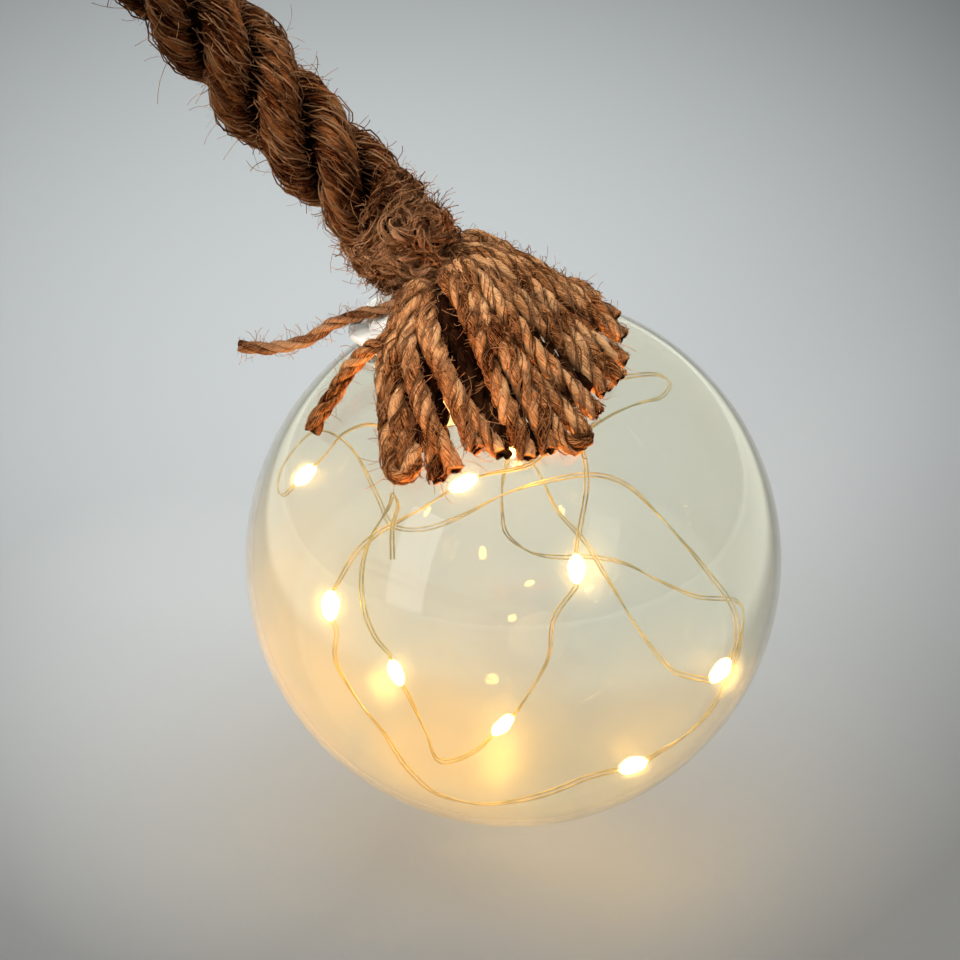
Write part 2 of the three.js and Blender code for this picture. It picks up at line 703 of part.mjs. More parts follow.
// Yarn ends that leave the bundle, pass over the lid and the flange, and lie on the ball's shoulder
function ropeFringe() {
  const lift = YARN_RADIUS + GAP;
  const overLid = lidTop + lift + ARCH_ROOM;
  let fringe = toSolid(yarnBundle());
  const root = (turn) => [
    roundRope(turn, bundleRing, YARN_RADIUS),
    roundRope(turn, bundleRing, -YARN_RADIUS),
  ];
  const pastLid = (turn, ride) =>
    roundNeck(lidRadius + ARCH_PAST_LID, turn, overLid + ride).applyEuler(neckTurn);
  const pastFlange = (turn, ride) =>
    roundNeck(flangeRadius + ARCH_PAST_FLANGE, turn, flangeTop - ARCH_DROP + ride).applyEuler(neckTurn);
  const overBall = (turn, angle, height) => {
    const reach = BALL_RADIUS + height;
    const tilt = degrees(angle);
    return roundNeck(reach * Math.sin(tilt), turn, reach * Math.cos(tilt)).applyEuler(neckTurn);
  };
  for (const [lidTurn, turn, tipTurn, tipAngle, ride] of YARN_ENDS) {
    const tip = overBall(tipTurn, tipAngle, lift + ride / 3);
    const path = smooth([...root(lidTurn), pastLid(lidTurn, ride), pastFlange(turn, ride), tip]);
    fringe = fringe.add(toSolid(tubeAlong(path, YARN_RADIUS, 6, 7)));
  }
  const stray = STRAY_YARN.map(([turn, angle, height]) => overBall(turn, angle, STRAY_RADIUS + GAP + height));
  const strayPath = smooth([...root(STRAY_YARN_TURN), pastLid(STRAY_YARN_TURN, 0), ...stray]);
  fringe = fringe.add(toSolid(tubeAlong(strayPath, STRAY_RADIUS, 6, 12)));
  return toGeometry(fringe);
}

function hangingLoop() {
  const place = ([across, along]) =>
    loopFoot.clone().addScaledVector(endAcross, across).addScaledVector(endAxis, along);
  return tubeAlong(smooth(LOOP_ROUTE.map(place)), LOOP_RADIUS, 8, 32);
}

// A light: a drop of clear resin over its chip, with its long side along the wire
function stringLight(place, direction) {
  const made = new THREE.CapsuleGeometry(LIGHT_RADIUS, LIGHT_LENGTH - 2 * LIGHT_RADIUS, 2, 8, 1);
  const turn = new THREE.Quaternion().setFromUnitVectors(new THREE.Vector3(0, 1, 0), direction);
  made.applyQuaternion(turn);
  made.translate(...place);
  return made;
}

// The light string: wires and lights in turn, from the lead's hole in the cup to the cut tail
function lightString(group) {
  const scale = innerRadius / ROUTE_RADIUS;
  const within = (place, radius) =>
    vector(place).multiplyScalar(scale).clampLength(0, innerRadius - 2 * GAP - radius);
  const onNeckAxis = (height) => neckAxis.clone().multiplyScalar(height);
  let run = [onNeckAxis(floorTop), onNeckAxis(floorBottom), onNeckAxis(floorBottom - LEAD_DROP)];
  const routes = Object.entries(STRING_ROUTES);
  for (const [count, [name, places]] of routes.entries()) {
    let nextRun = [];
    const points = places.map((place) => within(place, WIRE_RADIUS));
    const isTail = name === "string_tail";
    let wireEnd = points[points.length - 1];
    if (!isTail) {
      const middle = within(places[places.length - 1], LIGHT_RADIUS + GAP);
      const after = within(routes[count + 1][1][0], WIRE_RADIUS);
      const direction = after.sub(points[points.length - 2]).normalize();
      group.add(named(name, stringLight(middle, direction), materials.light));
      wireEnd = middle.clone().addScaledVector(direction, -(LIGHT_LENGTH / 2 + GAP));
      nextRun = [middle.clone().addScaledVector(direction, LIGHT_LENGTH / 2 + GAP)];
    }
    const path = smooth([...run, ...points.slice(0, -1), wireEnd]);
    const steps = Math.max(4, Math.round(path.getLength() / WIRE_STEP));
    const wireName = isTail ? name : name.replace("light", "wire");
    group.add(named(wireName, tubeAlong(path, WIRE_RADIUS, 5, steps), materials.wire));
    run = nextRun;
  }
}

// Everything is placed in the ball's frame, and the whole is moved so that the loop's crown is the origin
const bauble = new THREE.Group();
const ball = new THREE.Group();
ball.position.copy(loopCrown).negate();
bauble.add(ball);

const neck = new THREE.Group();
neck.rotation.copy(neckTurn);
ball.add(neck);

const spring = winding("contact_spring", springPoints(), SPRING_WIRE / 2, 6);
neck.add(named("glass_ball", glassBall(), materials.glass));
neck.add(named("battery_holder", batteryHolder(), materials.whitePlastic));
neck.add(named("grip_ring", gripRing(), materials.rubber));
neck.add(named("circuit_board", circuitBoard(), materials.board));
neck.add(named("contact_spring", spring, materials.steel));
neck.add(named("side_contact", sideContact(), materials.steel));
neck.add(named("coin_cell_lower", coinCell(lowerCellBottom), materials.steel));
neck.add(named("coin_cell_upper", coinCell(upperCellBottom), materials.steel));
neck.add(named("battery_lid", batteryLid(), materials.whitePlastic));
neck.add(named("pressure_disc", pressureDisc(), materials.steel));
neck.add(named("switch_slider", switchSlider(), materials.slider));

lightString(ball);

// The binding's turns round the yarns, and the whipping round the rope's upper end
const neckStart = bindingStart.clone().addScaledVector(ropeAxis, WHIPPING_INSET);
const neckLength = BINDING_LENGTH - WHIPPING_INSET;
const neckCoil = bundleRadius + GAP + TWINE_RADIUS;
const neckTurns = windingPoints(neckStart, ropeAxis, neckCoil, neckLength, TWINE_RADIUS, WHIPPING_GAP);
const endStart = ropeEnd.clone().addScaledVector(endAxis, -END_WHIPPING_LENGTH);
const endCoil = ROPE_RADIUS + GAP + TWINE_RADIUS;
const endTurns = windingPoints(endStart, endAxis, endCoil, END_WHIPPING_LENGTH, TWINE_RADIUS, WHIPPING_GAP);
const tailPoints = TAIL_ROUTE.map((point) => vector(point).add(bindingStart));

ball.add(named("rope_fringe", ropeFringe(), materials.jute));
ball.add(named("neck_whipping", winding("neck_whipping", neckTurns, TWINE_RADIUS, 12), materials.twine));
ball.add(named("binding_tail", tubeAlong(smooth(tailPoints), TAIL_RADIUS, 8, 12), materials.twine));
ball.add(named("jute_rope", tubeAlong(smooth(ropePoints), ROPE_RADIUS, 12, 10), materials.jute));
ball.add(named("end_whipping", winding("end_whipping", endTurns, TWINE_RADIUS, 12), materials.twine));
ball.add(named("hanging_loop", hangingLoop(), materials.twine));

export default bauble;
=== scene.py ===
import random
from math import acos, cos, pi, radians, sin, tau

import bmesh
import bpy
from mathutils import Euler, Matrix, Vector


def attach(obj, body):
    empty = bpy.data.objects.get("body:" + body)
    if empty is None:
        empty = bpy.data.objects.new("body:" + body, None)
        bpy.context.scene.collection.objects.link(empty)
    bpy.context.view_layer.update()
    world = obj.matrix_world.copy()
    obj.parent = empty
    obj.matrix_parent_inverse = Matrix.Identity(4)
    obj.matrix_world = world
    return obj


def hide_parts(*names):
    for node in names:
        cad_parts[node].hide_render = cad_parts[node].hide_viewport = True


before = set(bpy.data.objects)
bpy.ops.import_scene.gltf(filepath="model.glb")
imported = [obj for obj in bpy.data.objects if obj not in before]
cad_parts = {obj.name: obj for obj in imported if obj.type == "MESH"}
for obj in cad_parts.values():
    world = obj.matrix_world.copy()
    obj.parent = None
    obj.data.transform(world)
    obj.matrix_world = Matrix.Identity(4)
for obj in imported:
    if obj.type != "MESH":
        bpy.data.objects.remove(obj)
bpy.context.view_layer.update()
scene = bpy.context.scene


# The studio: pale paper under the ball with painted light falling off as photographed, and a paler painted
# reflection of it in the glass; a soft overhead light, a key from the right, small lamps that stand in for
# the lights' glow on the yarns, a tall softbox for the reflection on the glass, and the camera looking down
# at the ball.
BALL_CENTRE = Vector((0.09996, 0, -0.16826))
BALL_RADIUS = 0.05

camera = bpy.data.objects.new("camera", bpy.data.cameras.new("camera"))
camera.data.lens = 85
camera.data.sensor_width = 36
camera.location = BALL_CENTRE + Vector((-0.0062, -0.3797, 0.1932))
camera.rotation_euler = (radians(65), 0, 0)
scene.collection.objects.link(camera)
scene.camera = camera

scene.view_settings.view_transform = "Standard"


def in_scene(name, data):
    made = bpy.data.objects.new(name, data)
    scene.collection.objects.link(made)
    return made


class Value:
    """A socket that an expression can use: arithmetic on it adds Math nodes to its tree."""

    def __init__(self, nodes, socket):
        self.nodes, self.socket = nodes, socket

    def math(self, operation, *others):
        return self.nodes.add("ShaderNodeMath", [self, *others], operation=operation)

    def __add__(self, other):
        return self.math("ADD", other)

    __radd__ = __add__

    def __sub__(self, other):
        return self.math("SUBTRACT", other)

    def __rsub__(self, other):
        return self.nodes.add("ShaderNodeMath", [other, self], operation="SUBTRACT")

    def __mul__(self, other):
        return self.math("MULTIPLY", other)

    __rmul__ = __mul__

    def __truediv__(self, other):
        return self.math("DIVIDE", other)

    def __gt__(self, other):
        return self.math("GREATER_THAN", other)


class Nodes:
    """A node tree, of a material or of Geometry Nodes: add puts any node in it."""

    def __init__(self, tree):
        self.tree = tree

    def node(self, kind, inputs=(), **settings):
        node = self.tree.nodes.new(kind)
        for name, value in settings.items():
            if name == "stops":
                while len(node.color_ramp.elements) < len(value):
                    node.color_ramp.elements.new(0.5)
                for element, (place, colour) in zip(node.color_ramp.elements, value):
                    element.position = place
                    element.color = (*(colour if isinstance(colour, tuple) else (colour,) * 3), 1)
            else:
                setattr(node, name, value)
        pairs = inputs.items() if isinstance(inputs, dict) else enumerate(inputs)
        for key, value in pairs:
            if isinstance(value, Value):
                self.tree.links.new(value.socket, node.inputs[key])
            else:
                node.inputs[key].default_value = value
        return node

    def add(self, kind, inputs=(), output=0, **settings):
        return Value(self, self.node(kind, inputs, **settings).outputs[output])

    def several(self, kind, names, inputs=(), **settings):
        """A node of which more than one output is used."""
        node = self.node(kind, inputs, **settings)
        return [Value(self, node.outputs[name]) for name in names]

    def seen_in_glass(self):
        """1 for rays that a surface mirrors, and 1 for rays that come through glass."""
        return self.several("ShaderNodeLightPath", ("Is Glossy Ray", "Is Transmission Ray"))

    def mix(self, share, first, second):
        """Two colours, mixed."""
        return self.add("ShaderNodeMix", {"Factor": share, 6: first, 7: second}, 2, data_type="RGBA")

    def vector(self, operation, *inputs, output=0):
        return self.add("ShaderNodeVectorMath", inputs, output, operation=operation)

    def scaled(self, vector, share):
        return self.add("ShaderNodeVectorMath", {0: vector, "Scale": share}, operation="SCALE")

    def chance(self, most, seed, **inputs):
        """A random number from 0 up to the most."""
        inputs = {2: 0.0, 3: most, "Seed": seed, **inputs}
        return self.add("FunctionNodeRandomValue", inputs, 1, data_type="FLOAT")


class Finish(Nodes):
    """A material of one Principled shader, whose sockets are named in the call."""

    def __init__(self, name):
        self.material = bpy.data.materials.new(name)
        self.material.use_nodes = True
        super().__init__(self.material.node_tree)
        self.tree.nodes.clear()

    def place(self):
        return self.add("ShaderNodeTexCoord", output=3)

    def noise(self, where, scale, detail=2, roughness=0.5):
        inputs = {"Vector": where, "Scale": scale, "Detail": detail, "Roughness": roughness}
        return self.add("ShaderNodeTexNoise", inputs)

    def kept(self, attribute, output=2):
        """What the geometry keeps at each point under a name."""
        return self.add("ShaderNodeAttribute", output=output, attribute_name=attribute)

    def ramp(self, value, *stops):
        return self.add("ShaderNodeValToRGB", [value], stops=stops)

    def bump(self, height, depth, strength=1.0):
        return self.add("ShaderNodeBump", {"Strength": strength, "Distance": depth, "Height": height})

    def principled(self, **sockets):
        inputs = {name.replace("_", " "): value for name, value in sockets.items()}
        return self.add("ShaderNodeBsdfPrincipled", inputs)

    def close(self, shader):
        self.node("ShaderNodeOutputMaterial", [shader])
        return self.material

    def shade(self, **sockets):
        return self.close(self.principled(**sockets))


FLOOR_COLOUR = (0.62, 0.655, 0.665)
# Painted reflection: the paper's paler colour as glass shows it.
PAINTED_REFLECTION_COLOUR = (0.84, 0.87, 0.74)
# Painted light on the paper: its least level, and where and how fast it turns pale again far off.
PAINTED_LIGHT_LEAST, FAR_EDGE, FAR_RISE = 0.27, 0.62, 1.1
DEPTH_SLOPE, DEPTH_START, LIFT_SLOPE, LIFT_START = 0.906, 0.4467, 0.9978, 0.1413
MIDDLE_LINE, WIDENING = 0.0938, 2.361


def surface_finish():
    """Pale paper with painted light: a painted pool of light under the ball's left side and a weaker painted
    patch of light left of it, both drawn in perspective. It is painted pale again far off, and what glass
    shows of it glows paler still, a painted reflection."""
    finish = Finish("seamless paper")
    place = finish.place()
    grain = finish.noise(place, 900, 3)
    across, along = finish.several("ShaderNodeSeparateXYZ", (0, 1), [place])
    depth = along * DEPTH_SLOPE + DEPTH_START
    sideways = (across - MIDDLE_LINE) * WIDENING / depth + 0.12
    upward = (along * LIFT_SLOPE - LIFT_START) / depth
    away = sideways * sideways + upward * upward
    # Painted light: a weaker patch of light left of the pool.
    left, low = sideways + 0.2, upward + 0.26
    painted_light_patch = (0.13 - (left * left + low * low) * 2).math("MAXIMUM", 0)
    # Painted light: the pool of light under the ball's left side, brighter towards the top of the view.
    painted_light_pool = (1.0 - away * 1.05).math("MAXIMUM", 0) * (upward * 0.52 + 0.81).math("MAXIMUM", 0)
    # Painted light: far outside the view the paper turns pale again.
    aside = across - 0.1
    far = ((aside * aside + along * along).math("SQRT") - FAR_EDGE) * FAR_RISE
    # The painted light's fall-off on the paper, never below its least level.
    painted_light_falloff = (painted_light_pool + painted_light_patch).math("MAXIMUM", far).math("MAXIMUM", PAINTED_LIGHT_LEAST)
    # Painted reflection: for rays that glass mirrors or lets through, the paper glows paler away from the
    # spot.
    mirrored, through = finish.seen_in_glass()
    glow = (away - 0.62) * 2.5 * mirrored.math("MAXIMUM", through)
    return finish.shade(
        Emission_Color=finish.ramp(glow, (0, 0), (1, PAINTED_REFLECTION_COLOUR)),
        Emission_Strength=1.0,
        Base_Color=finish.ramp(painted_light_falloff, (0, 0), (1, FLOOR_COLOUR)),
        Roughness=0.75,
        Specular_IOR_Level=0.25,
        Normal=finish.bump(grain, 0.0002, 0.15),
    )


def lamp(name, place, target, size, power, colour, spread=180):
    light = bpy.data.lights.new(name, "AREA")
    light.shape = "RECTANGLE"
    light.spread = radians(spread)
    light.size, light.size_y = size
    light.energy = power
    light.color = colour
    made = in_scene(name, light)
    made.location = place
    made.rotation_euler = (Vector(target) - Vector(place)).to_track_quat("-Z", "Y").to_euler()
    made.visible_glossy = made.visible_transmission = False


def flat(name, width, length, height, material):
    """A plain rectangle, left out of the export."""
    corners = [(width / 2 * x, length / 2 * y, height) for x, y in ((-1, -1), (1, -1), (1, 1), (-1, 1))]
    mesh = bpy.data.meshes.new(name)
    mesh.from_pydata(corners, [], [(0, 1, 2, 3)])
    mesh.materials.append(material)
    made = in_scene(name, mesh)
    return made


flat("floor", 8, 8, BALL_CENTRE.z - BALL_RADIUS, surface_finish())
softbox_finish = Finish("softbox")
softbox_glow = softbox_finish.add("ShaderNodeEmission", {"Color": (1, 1, 0.98, 1), "Strength": 2.2})
softbox = flat("softbox", 0.3, 0.72, 0, softbox_finish.close(softbox_glow))
softbox.location = BALL_CENTRE + Vector((-0.7, -0.7, 0.34))
softbox.rotation_euler = (BALL_CENTRE - softbox.location).to_track_quat("Z", "Y").to_euler()
softbox.visible_camera = softbox.visible_diffuse = softbox.visible_shadow = False

world = bpy.data.worlds.new("studio")
world.use_nodes = True
sky = Nodes(world.node_tree)
# Painted reflection: what glass and metal mirror, and what shows through glass, is a paler world than the
# light it gives.
mirrored, through = sky.seen_in_glass()
sky_colour = sky.mix(mirrored, (0.21, 0.225, 0.24, 1), (0.6, 0.62, 0.56, 1))
sky_colour = sky.mix(through, sky_colour, (0.84, 0.87, 0.77, 1))
world.node_tree.links.new(sky_colour.socket, world.node_tree.nodes["Background"].inputs["Color"])
scene.world = world
GLOW = (1, 0.45, 0.13)
lamp("overhead", (0.12, 0.1, 0.95), (0.08, 0, -0.18), (1.3, 1.0), 11.7, (1, 0.985, 0.97))
lamp("key", (0.2, -0.06, 0.42), (0.06, 0, -0.1), (0.6, 0.6), 2.0, (1, 0.97, 0.93))
lamp("warm fill", (0.085, -0.17, -0.205), (0.093, -0.034, -0.133), (0.02, 0.02), 0.006, (1, 0.48, 0.15), 14)
for side, power, place, target in (
    ("left", 0.018, (-0.0066, -0.0299, 0.0224), (-0.011, -0.0348, 0.037)),
    ("right", 0.03, (0.0064, -0.0267, 0.0263), (0.0042, -0.031, 0.0415)),
):
    place, target = BALL_CENTRE + Vector(place), BALL_CENTRE + Vector(target)
    lamp("tip glow " + side, place, target, (0.02, 0.01), power, GLOW)
lamp("left fill", (-0.05, -0.12, -0.04), (0.07, 0, -0.112), (0.05, 0.05), 0.012, (1, 0.95, 0.9), 25)


# The rope: three strands of jute laid right-handed, each of eight yarns twisted the other way, as on
# a ropewalk. It starts inside the binding, pinched in, and ends just outside the view.
ROPE_START = Vector((0.07534, 0, -0.10032))
ROPE_AXIS = Vector((-0.64279, 0, 0.76604))
ROPE_ROUTE = [
    (0, 0, 0), (-3.9, 0.1, 4.7), (-7.8, 0.2, 9.5), (-12.1, 0.3, 13.7), (-16.3, 0.3, 18.1),
    (-19.9, 0.2, 22.8), (-23.3, 0.1, 27.7), (-27, 0, 32), (-30.7, -0.1, 36.1), (-34, -0.2, 40.5),
    (-37.2, -0.2, 44.9), (-40.4, -0.2, 49.2), (-43.6, -0.1, 53.5), (-46.7, 0, 57.9), (-49.7, 0, 62.3),
    (-52.6, 0, 66.6), (-55.5, 0, 70.9), (-58.4, 0, 75.2),
]
BINDING_OVERLAP = 0.0135


def smooth_path(points, spacing):
    """Evenly spaced points on a smooth curve through the given ones."""
    points = [Vector(p) for p in points]
    fine = []
    for i in range(len(points) - 1):
        a = points[max(i - 1, 0)]
        b, c = points[i], points[i + 1]
        d = points[min(i + 2, len(points) - 1)]
        for k in range(12):
            t = k / 12
            square, cube = 2 * a - 5 * b + 4 * c - d, 3 * b - a - 3 * c + d
            fine.append(0.5 * (2 * b + (c - a) * t + square * t * t + cube * t**3))
    fine.append(points[-1])
    lengths = [0]
    for a, b in zip(fine, fine[1:]):
        lengths.append(lengths[-1] + (b - a).length)
    count = max(2, round(lengths[-1] / spacing) + 1)
    even, j = [], 0
    for i in range(count):
        goal = lengths[-1] * i / (count - 1)
        while j < len(fine) - 2 and lengths[j + 1] < goal:
            j += 1
        step = lengths[j + 1] - lengths[j]
        even.append(fine[j].lerp(fine[j + 1], (goal - lengths[j]) / step if step else 0))
    return even


def tree_with(name, measures, counts):
    """An empty Geometry Nodes tree with named inputs, and its group input's values by name."""
    tree = bpy.data.node_groups.new(name, "GeometryNodeTree")
    kinds = {"Geometry": "Geometry", **dict.fromkeys(measures, "Float"), **dict.fromkeys(counts, "Int")}
    for label, kind in (*kinds.items(), ("Material", "Material")):
        tree.interface.new_socket(label, in_out="INPUT", socket_type="NodeSocket" + kind)
    tree.interface.new_socket("Geometry", in_out="OUTPUT", socket_type="NodeSocketGeometry")
    nodes = Nodes(tree)
    source = tree.nodes.new("NodeGroupInput")
    values = {socket.name: Value(nodes, socket) for socket in source.outputs if socket.name}
    return nodes, values


def close_tree(nodes, geometry, material):
    real = nodes.add("GeometryNodeRealizeInstances", [geometry])
    dressed = nodes.add("GeometryNodeSetMaterial", {"Geometry": real, "Material": material})
    nodes.node("NodeGroupOutput", [dressed])
    return nodes.tree


def strands_tree():
    """Curves in, laid strands out: each curve becomes strands, each strand yarns, each yarn a tube."""
    measures = (
        "Spacing", "Strand Reach", "Strand Lay", "Strand Start", "Yarn Reach", "Yarn Lay", "Thread Radius",
        "Pinch", "Pinch Length", "Wander", "Unevenness",
    )
    nodes, size = tree_with("laid strands", measures, ("Strands", "Yarns", "Sides", "Seed"))
    add = nodes.add

    def store(geometry, name, value, kind="FLOAT", domain="POINT"):
        inputs = {"Geometry": geometry, "Name": name, "Value": value}
        return add("GeometryNodeStoreNamedAttribute", inputs, data_type=kind, domain=domain)

    def recall(name, kind="FLOAT"):
        return add("GeometryNodeInputNamedAttribute", {"Name": name}, data_type=kind)

    def ripple(lane, scale, output):
        inputs = {"Vector": place, "W": lane, "Scale": scale, "Detail": 1.0}
        return add("ShaderNodeTexNoise", inputs, output, noise_dimensions="4D")

    def lay(curve, count, reach, pitch, start):
        """Copies of each curve, wound round it."""
        names, inputs = ("Geometry", "Duplicate Index"), {"Geometry": curve, "Amount": count}
        copies, copy = nodes.several("GeometryNodeDuplicateElements", names, inputs, domain="SPLINE")
        turn = (run / pitch + copy / count + start) * tau
        normal = add("GeometryNodeInputNormal")
        side = nodes.vector("CROSS_PRODUCT", add("GeometryNodeInputTangent"), normal)
        first = nodes.scaled(normal, turn.math("COSINE") * reach * opened)
        second = nodes.scaled(side, turn.math("SINE") * reach * opened)
        offset = nodes.vector("ADD", first, second)
        return add("GeometryNodeSetPosition", {"Geometry": copies, "Offset": offset})

    place, number = add("GeometryNodeInputPosition"), add("GeometryNodeInputIndex")
    curve = {"Curve": size["Geometry"], "Length": size["Spacing"]}
    curve = add("GeometryNodeResampleCurve", curve, mode="LENGTH")
    curve = store(curve, "core", place, "FLOAT_VECTOR")
    curve = store(curve, "along", add("GeometryNodeSplineParameter", output=1))
    run = recall("along")
    share = add("ShaderNodeMath", [run, size["Pinch Length"]], operation="DIVIDE", use_clamp=True)
    eased = share * share * (3 - 2 * share)
    curve = store(curve, "open", size["Pinch"] + (1 - size["Pinch"]) * eased)
    opened = recall("open")
    curve = store(curve, "phase", nodes.chance(1.0, size["Seed"], ID=number), "FLOAT", "CURVE")
    laid = lay(curve, size["Strands"], size["Strand Reach"], size["Strand Lay"], size["Strand Start"])
    laid = store(laid, "strand core", place, "FLOAT_VECTOR")
    laid = lay(laid, size["Yarns"], size["Yarn Reach"], size["Yarn Lay"], recall("phase"))
    laid = store(laid, "tint", nodes.chance(1.0, size["Seed"], ID=number), "FLOAT", "CURVE")
    lane = recall("tint") * 7.3
    centred = nodes.vector("SUBTRACT", ripple(lane, 160.0, 1), (0.5, 0.5, 0.5))
    strayed = nodes.scaled(centred, size["Wander"] * opened)
    laid = add("GeometryNodeSetPosition", {"Geometry": laid, "Offset": strayed})
    thickness = 1 + (ripple(lane + 3.1, 260.0, 0) - 0.5) * size["Unevenness"]
    laid = add("GeometryNodeSetCurveRadius", {"Curve": laid, "Radius": thickness})
    section = {"Resolution": size["Sides"], "Radius": size["Thread Radius"]}
    around = add("GeometryNodeSplineParameter") * tau
    compass = add("ShaderNodeCombineXYZ", [around.math("COSINE"), around.math("SINE"), 0.0])
    ring = add("GeometryNodeCurvePrimitiveCircle", section)
    ring = store(ring, "around", compass, "FLOAT_VECTOR")
    sweep = {"Curve": laid, "Profile Curve": ring, "Scale": thickness, "Fill Caps": True}
    tubes = add("GeometryNodeCurveToMesh", sweep)
    x, y = nodes.several("ShaderNodeSeparateXYZ", (0, 1), [recall("around", "FLOAT_VECTOR")])
    tubes = store(tubes, "lay", add("ShaderNodeCombineXYZ", [x, y, run * 1000]), "FLOAT_VECTOR")
    # How far each point lies from the rope's core and from its strand's core, kept for the painted shade in
    # the grooves and between the yarns.
    for label, core, reach in (
        ("groove", "core", size["Strand Reach"] + size["Yarn Reach"]),
        ("gap", "strand core", size["Yarn Reach"]),
    ):
        away = nodes.vector("DISTANCE", place, recall(core, "FLOAT_VECTOR"), output=1)
        tubes = store(tubes, label, away / (reach * opened + size["Thread Radius"]))
    return close_tree(nodes, add("GeometryNodeSetShadeSmooth", [tubes]), size["Material"])


def hairs_tree():
    """Loose fibres that stand off the outer faces of yarns, each a thin bent blade."""
    measures = ("Density", "Hair Length", "Hair Thickness", "Lean")
    nodes, size = tree_with("loose fibres", measures, ("Seed",))
    add = nodes.add
    core = add("GeometryNodeInputNamedAttribute", {"Name": "core"}, data_type="FLOAT_VECTOR")
    out = nodes.vector("NORMALIZE", nodes.vector("SUBTRACT", add("GeometryNodeInputPosition"), core))
    facing = nodes.vector("DOT_PRODUCT", out, add("GeometryNodeInputNormal"), output=1)
    inputs = {"Mesh": size["Geometry"], "Selection": facing > 0.35}
    inputs.update({name: size[name] for name in ("Density", "Seed")})
    roots, skin = nodes.several("GeometryNodeDistributePointsOnFaces", ("Points", "Normal"), inputs)
    spans = {0: (-1, -1, -1), 1: (1, 1, 1), "Seed": size["Seed"]}
    leaning = nodes.scaled(add("FunctionNodeRandomValue", spans, data_type="FLOAT_VECTOR"), size["Lean"])
    way = nodes.vector("ADD", skin, leaning)
    turn = add("FunctionNodeAlignRotationToVector", {"Vector": way}, axis="Z")
    pick = nodes.chance(1.0, 5)
    long_size = size["Hair Length"] * (0.22 + 0.78 * pick * pick * pick)
    bow = {"Resolution": 4, "Start": (0, 0, -0.04), "Middle": (0.05, 0, 0.62), "End": (0.55, 0.12, 0.85)}
    bend = add("GeometryNodeCurveQuadraticBezier", bow)
    thin = size["Hair Thickness"] / size["Hair Length"]
    slim = add("GeometryNodeCurvePrimitiveCircle", {"Resolution": 3, "Radius": thin})
    blade = add("GeometryNodeCurveToMesh", {"Curve": bend, "Profile Curve": slim, "Fill Caps": True})
    inputs = {"Points": roots, "Instance": blade, "Rotation": turn, "Scale": long_size}
    planted = add("GeometryNodeInstanceOnPoints", inputs)
    twirl = add("ShaderNodeCombineXYZ", [0.0, 0.0, nodes.chance(6.28, 9)])
    planted = add("GeometryNodeRotateInstances", {"Instances": planted, "Rotation": twirl})
    return close_tree(nodes, planted, size["Material"])


def baked(name, source, tree, **sizes):
    """The plain mesh that a tree makes of an object, as a new object at the origin."""
    modifier = source.modifiers.new(tree.name, "NODES")
    modifier.node_group = tree
    for item in tree.interface.items_tree:
        key = item.name.lower().replace(" ", "_")
        if item.in_out == "INPUT" and key in sizes:
            modifier[item.identifier] = sizes[key]
    bpy.context.view_layer.update()
    depsgraph = bpy.context.evaluated_depsgraph_get()
    mesh = bpy.data.meshes.new_from_object(source.evaluated_get(depsgraph))
    source.modifiers.remove(modifier)
    mesh.name = name
    return in_scene(name, mesh)


ROUTE_STEP = 0.0006


def route_object(name, routes):
    """A curve object with one open spline for each route."""
    curve = bpy.data.curves.new(name, "CURVE")
    curve.dimensions = "3D"
    for route in routes:
        points = smooth_path(route, ROUTE_STEP)
        spline = curve.splines.new("POLY")
        spline.points.add(len(points) - 1)
        for spot, point in zip(spline.points, points):
            spot.co = (*point, 1)
    return in_scene(name, curve)


LAID = strands_tree()
HAIRS = hairs_tree()


def laid(name, routes, material, **sizes):
    """Routes made into laid strands of the given sizes."""
    plain = {
        "spacing": 0.0007, "strands": 1, "strand_reach": 0.0, "strand_lay": 0.02, "strand_start": 0.0,
        "yarns": 1, "yarn_reach": 0.0, "yarn_lay": 0.02, "sides": 8, "pinch": 1.0,
        "pinch_length": 0.01, "wander": 0.0, "unevenness": 0.0, "seed": 1, "material": material,
    }
    source = route_object(name + "_route", routes)
    made = baked(name, source, LAID, **{**plain, **sizes})
    bpy.data.objects.remove(source)
    return made


def tone(colour, share):
    return tuple(min(1, c * share) for c in colour)


OUTWARD_SHARE = 2.2


def hairy(name, piece, material, count, length, thickness=0.00006, lean=0.9, seed=1):
    """Loose fibres on a piece, about as many as asked for, as not every face looks outward."""
    area = sum(face.area for face in piece.data.polygons)
    return baked(
        name, piece, HAIRS, material=material, density=OUTWARD_SHARE * count / area,
        hair_length=length, hair_thickness=thickness, lean=lean, seed=seed,
    )


